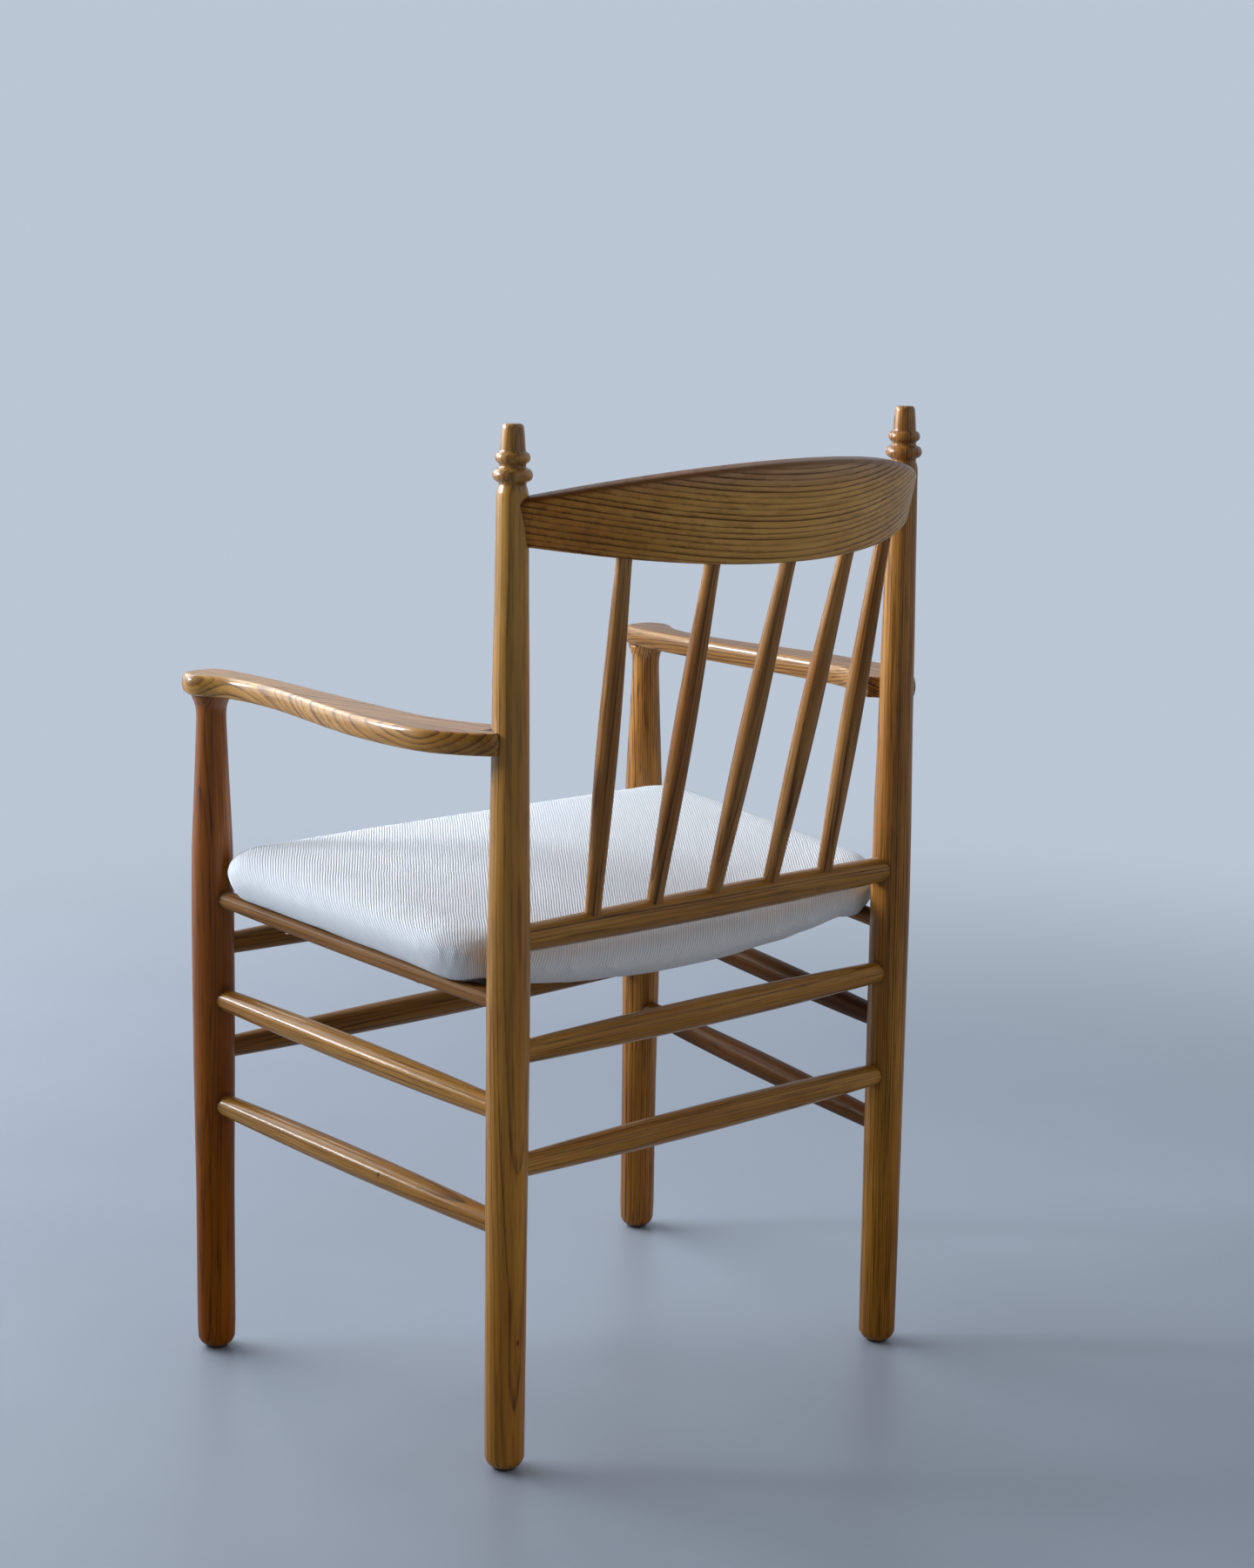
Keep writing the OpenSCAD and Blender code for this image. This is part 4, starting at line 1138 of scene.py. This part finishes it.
def fabric():
    m = bpy.data.materials.new("woven_seat_fabric")
    t = Tree(m)
    c = t.attr("cloth").outputs["Vector"]
    wob = t.noise(t.vmath("MULTIPLY", c, (22, 22, 22)), 1.0, 2.0, 0.5)
    sep = t.node("ShaderNodeSeparateXYZ")
    t.link(c, sep.inputs[0])
    u = t.math("ADD", sep.outputs[0], t.math("MULTIPLY", t.math("SUBTRACT", wob, 0.5), 0.0030))
    wob2 = t.noise(t.vmath("ADD", t.vmath("MULTIPLY", c, (240, 240, 240)), (4.1, 9.2, 3.3)), 1.0, 1.0, 0.5)
    v = t.math("ADD", sep.outputs[1], t.math("MULTIPLY", t.math("SUBTRACT", wob2, 0.5), 0.0007))
    # twill: raised ribs run diagonally over the seat, each broken into short floats
    phase = t.math("SUBTRACT", t.math("MULTIPLY", u, 335.0), t.math("MULTIPLY", v, 250.0))
    rib = t.math("POWER", t.math("ABSOLUTE", t.math("SINE", t.math("MULTIPLY", phase, math.pi))), 0.8)
    step = t.math("ADD", t.math("MULTIPLY", v, 760.0), t.math("MULTIPLY", t.math("FLOOR", phase), 0.5))
    float_ = t.math("POWER", t.math("ABSOLUTE", t.math("SINE", t.math("MULTIPLY", step, math.pi))), 0.5)
    height = t.math("MULTIPLY", rib, t.math("MULTIPLY_ADD", float_, 0.30, 0.70))
    # slubs and soft fibres
    turned = t.node("ShaderNodeVectorRotate", rotation_type="Z_AXIS")
    t.link(c, turned.inputs["Vector"])
    turned.inputs["Angle"].default_value = -math.radians(53)
    slub = t.noise(t.vmath("MULTIPLY", turned.outputs[0], (28, 260, 1)), 1.0, 2.0, 0.5)
    fuzz = t.noise(t.vmath("MULTIPLY", c, (2600, 2600, 2600)), 1.0, 2.0, 0.6)
    large = t.noise(t.vmath("MULTIPLY", c, (9, 9, 9)), 1.0, 2.0, 0.5)
    # painted shade: the grooves between the twill's ribs are painted darker than the rib crests
    col = t.mix(t.span(height, 0.15, 0.92, 0.0, 1.0), (0.54, 0.565, 0.615), (0.92, 0.95, 0.985))
    col = t.mix(t.span(slub, 0.35, 0.7, 0.22, 0.0), col, (0.60, 0.62, 0.645))
    col = t.mix(t.math("MULTIPLY", t.span(large, 0.35, 0.65, 1.0, 0.0), 0.14), col, (0.66, 0.655, 0.63))
    # a few dark flecks in the yarn
    fleck = t.node("ShaderNodeTexVoronoi", feature="F1")
    t.feed(fleck.inputs["Vector"], t.vmath("MULTIPLY", c, (34, 34, 34)))
    fleck.inputs["Randomness"].default_value = 1.0
    dot = t.span(fleck.outputs["Distance"], 0.010, 0.030, 1.0, 0.0)
    col = t.mix(t.math("MULTIPLY", dot, 0.10), col, (0.22, 0.19, 0.16))
    # painted shadow: the crevice where the pad meets its rails is painted near black
    rail_crevice_shadow = t.attr("rail_crevice_shadow").outputs["Fac"]
    ragged = t.math("ADD", rail_crevice_shadow, t.math("MULTIPLY", t.math("SUBTRACT", wob2, 0.5), 0.22))
    col = t.mix(t.span(ragged, 0.18, 0.55, 0.0, 0.96), col, (0.030, 0.018, 0.010))
    t.link(col, t.bsdf.inputs["Base Color"])
    h = t.math("ADD", height, t.math("MULTIPLY", slub, 0.35))
    h = t.math("ADD", h, t.math("MULTIPLY", fuzz, 0.12))
    t.link(t.bump(h, 0.9, 0.00055), t.bsdf.inputs["Normal"])
    t.link(t.math("ADD", 0.78, t.math("MULTIPLY", fuzz, 0.2)), t.bsdf.inputs["Roughness"])
    principled(t, Sheen_Weight=0.25, Sheen_Roughness=0.5, Specular_IOR_Level=0.25)
    return m


M_FABRIC = fabric()
finish_piece(pad, M_FABRIC, "seat_fabric", "seat_cover", "seat_foam", "seat_shell")

# ---------------------------------------------------------------------------
# small carried-over CAD nodes
# ---------------------------------------------------------------------------


def plastic():
    m = bpy.data.materials.new("brown_nylon_glide")
    t = Tree(m)
    c = t.node("ShaderNodeTexCoord").outputs["Object"]
    n = t.noise(t.vmath("MULTIPLY", c, (900, 900, 900)), 1.0, 3.0, 0.6)
    s = t.noise(t.vmath("MULTIPLY", c, (140, 140, 60)), 1.0, 3.0, 0.6)
    t.link(t.mix(t.span(s, 0.35, 0.65, 0.0, 1.0), (0.030, 0.020, 0.014), (0.060, 0.043, 0.031)), t.bsdf.inputs["Base Color"])
    t.link(t.math("ADD", 0.42, t.math("MULTIPLY", n, 0.25)), t.bsdf.inputs["Roughness"])
    t.link(t.bump(n, 0.4, 0.0001), t.bsdf.inputs["Normal"])
    return m


def steel():
    m = bpy.data.materials.new("zinc_screw")
    t = Tree(m)
    c = t.node("ShaderNodeTexCoord").outputs["Object"]
    n = t.noise(t.vmath("MULTIPLY", c, (700, 700, 700)), 1.0, 3.0, 0.6)
    t.link(t.mix(n, (0.44, 0.43, 0.40), (0.62, 0.61, 0.58)), t.bsdf.inputs["Base Color"])
    t.link(t.math("ADD", 0.25, t.math("MULTIPLY", n, 0.2)), t.bsdf.inputs["Roughness"])
    t.link(t.bump(n, 0.2, 0.00005), t.bsdf.inputs["Normal"])
    principled(t, Metallic=1.0)
    return m


def beech():
    m = bpy.data.materials.new("beech_dowel")
    t = Tree(m)
    c = t.node("ShaderNodeTexCoord").outputs["Object"]
    n = t.noise(t.vmath("MULTIPLY", c, (500, 120, 500)), 1.0, 3.0, 0.6)
    t.link(t.mix(n, (0.60, 0.42, 0.24), (0.46, 0.30, 0.16)), t.bsdf.inputs["Base Color"])
    t.link(t.math("ADD", 0.5, t.math("MULTIPLY", n, 0.2)), t.bsdf.inputs["Roughness"])
    t.link(t.bump(n, 0.3, 0.0001), t.bsdf.inputs["Normal"])
    return m


for node, mat in (("glides", plastic()), ("seat_screws", steel()), ("arm_dowels", beech())):
    o = nodes[node]
    o.data.materials.clear()
    o.data.materials.append(mat)

# ---------------------------------------------------------------------------
# floor, light, camera
# ---------------------------------------------------------------------------

# plain pale floor: flat near the object, fading out into the background
verts, faces = [(0, 0, 0)], []
rad = [0.35, 0.7, 1.0, 1.4, 1.8, 2.3, 3.0, 4.0]
seg = 96
for r in rad:
    for j in range(seg):
        t = 2 * math.pi * j / seg
        verts.append((r * math.cos(t), r * math.sin(t), -0.0002))
for j in range(seg):
    faces.append((0, 1 + j, 1 + (j + 1) % seg))
for k in range(len(rad) - 1):
    for j in range(seg):
        j2 = (j + 1) % seg
        faces.append((1 + k * seg + j, 1 + (k + 1) * seg + j, 1 + (k + 1) * seg + j2, 1 + k * seg + j2))
verts[0] = (0, 0, -0.0002)
floor = new_object("studio_floor", verts, faces, smooth=False)
fm = bpy.data.materials.new("pale_painted_floor")
t = Tree(fm)
pos = t.node("ShaderNodeTexCoord").outputs["Object"]
dist = t.vmath("LENGTH", t.vmath("MULTIPLY", pos, (1, 1, 0)))
soft = t.noise(t.vmath("MULTIPLY", pos, (3, 3, 3)), 1.0, 3.0, 0.5)
t.link(t.mix(soft, (0.35, 0.385, 0.44), (0.41, 0.45, 0.51)), t.bsdf.inputs["Base Color"])
t.link(t.math("ADD", 0.34, t.math("MULTIPLY", soft, 0.10)), t.bsdf.inputs["Roughness"])
t.link(t.bump(soft, 0.08, 0.01), t.bsdf.inputs["Normal"])
clear = t.node("ShaderNodeBsdfTransparent")
mixer = t.node("ShaderNodeMixShader")
t.link(t.span(dist, 0.95, 2.6, 0.0, 1.0, smooth=True), mixer.inputs[0])
t.link(t.bsdf.outputs[0], mixer.inputs[1])
t.link(clear.outputs[0], mixer.inputs[2])
t.link(mixer.outputs[0], t.out.inputs["Surface"])
floor.data.materials.append(fm)

world = bpy.data.worlds.new("studio")
scene.world = world
world.use_nodes = True
wt = world.node_tree
wt.nodes.clear()
wo = wt.nodes.new("ShaderNodeOutputWorld")
mix = wt.nodes.new("ShaderNodeMixShader")
seen = wt.nodes.new("ShaderNodeBackground")
lit = wt.nodes.new("ShaderNodeBackground")
path = wt.nodes.new("ShaderNodeLightPath")
seen.inputs["Color"].default_value = (0.50, 0.565, 0.66, 1)
seen.inputs["Strength"].default_value = 1.0
tc = wt.nodes.new("ShaderNodeTexCoord")


def lobe(direction, lo, hi):
    d = wt.nodes.new("ShaderNodeVectorMath")
    d.operation = "DOT_PRODUCT"
    d.inputs[1].default_value = Vector(direction).normalized()
    m = wt.nodes.new("ShaderNodeMapRange")
    m.interpolation_type = "SMOOTHSTEP"
    m.inputs[1].default_value, m.inputs[2].default_value = lo, hi
    m.inputs[3].default_value, m.inputs[4].default_value = 0.0, 1.0
    wt.links.new(tc.outputs["Generated"], d.inputs[0])
    wt.links.new(d.outputs["Value"], m.inputs[0])
    return m.outputs[0]


def over(fac, below, colour):
    m = wt.nodes.new("ShaderNodeMix")
    m.data_type = "RGBA"
    wt.links.new(fac, m.inputs[0])
    if isinstance(below, tuple):
        m.inputs[6].default_value = below
    else:
        wt.links.new(below, m.inputs[6])
    m.inputs[7].default_value = colour
    return m.outputs[2]


# dim room; a bright wall ahead; soft light from behind; some from above
light = over(lobe((-0.15, -0.93, 0.25), -0.15, 0.9), (0.052, 0.052, 0.054, 1), (0.44, 0.52, 0.635, 1))
light = over(lobe((-0.45, 0.86, 0.08), 0.28, 0.95), light, (0.66, 0.665, 0.65, 1))
light = over(lobe((-0.90, 0.42, 0.05), 0.45, 0.98), light, (0.58, 0.62, 0.68, 1))
light = over(lobe((-0.20, -0.79, 0.58), 0.70, 1.0), light, (0.58, 0.66, 0.77, 1))
# the floor goes on beyond the disc
light = over(lobe((0, 0, -1), -0.02, 0.12), light, (0.25, 0.28, 0.32, 1))
# far away on the window side the floor is bright
light = over(lobe((0.47, -0.87, -0.15), 0.78, 0.985), light, (0.66, 0.74, 0.85, 1))
wt.links.new(light, lit.inputs["Color"])
lit.inputs["Strength"].default_value = 1.0
wt.links.new(path.outputs["Is Camera Ray"], mix.inputs[0])
wt.links.new(lit.outputs[0], mix.inputs[1])
wt.links.new(seen.outputs[0], mix.inputs[2])
wt.links.new(mix.outputs[0], wo.inputs["Surface"])


def area(name, place, target, sx, sy, watts, colour, spread=180):
    d = bpy.data.lights.new(name, "AREA")
    d.spread = math.radians(spread)
    d.shape, d.size, d.size_y = "RECTANGLE", sx, sy
    d.energy, d.color = watts, colour
    o = bpy.data.objects.new(name, d)
    scene.collection.objects.link(o)
    o.location = place
    o.rotation_euler = (Vector(target) - Vector(place)).to_track_quat("-Z", "Y").to_euler()
    o.visible_camera = False
    return o


area("window", (2.05, -1.90 + SHIFT, 2.05), (0, 0, 1.30), 0.8, 1.5, 11, (0.93, 0.98, 1.05), spread=34)
area("window_wall", (1.15, -2.0 + SHIFT, 1.25), (0, 0, 0.9), 1.8, 1.2, 17, (0.83, 0.95, 1.08))
area("overhead", (0.6, -2.6, 2.2), (0, 0, 0.45), 2.4, 1.6, 66, (0.95, 0.98, 1.02))

# camera: pinhole, 36 mm on the long side of 1440 x 1800
F_PX, YAW, PITCH, ROLL = 3382.617, 228.1433, -9.7383, 0.9407
CX, CY, CZ = 1.750355, 2.058544 + SHIFT, 1.070189
cp, sp = math.cos(math.radians(PITCH)), math.sin(math.radians(PITCH))
cy, sy = math.cos(math.radians(YAW)), math.sin(math.radians(YAW))
fwd = Vector((cp * cy, cp * sy, sp))
right = Vector((sy, -cy, 0))
up = right.cross(fwd)
c, s = math.cos(math.radians(ROLL)), math.sin(math.radians(ROLL))
r2, u2 = right * c + up * s, up * c - right * s
cam = bpy.data.cameras.new("camera")
cam.sensor_fit, cam.sensor_width = "AUTO", 36.0
cam.lens = F_PX * 36 / 1800
cam.shift_x = -(741.718 - 720) / 1800
cam.shift_y = (825.094 - 900) / 1800
cam.clip_start, cam.clip_end = 0.05, 50
co = bpy.data.objects.new("camera", cam)
scene.collection.objects.link(co)
co.matrix_world = Matrix(((r2.x, u2.x, -fwd.x, CX), (r2.y, u2.y, -fwd.y, CY), (r2.z, u2.z, -fwd.z, CZ), (0, 0, 0, 1)))
scene.camera = co
scene.view_settings.view_transform = "Standard"
scene.view_settings.look = "None"
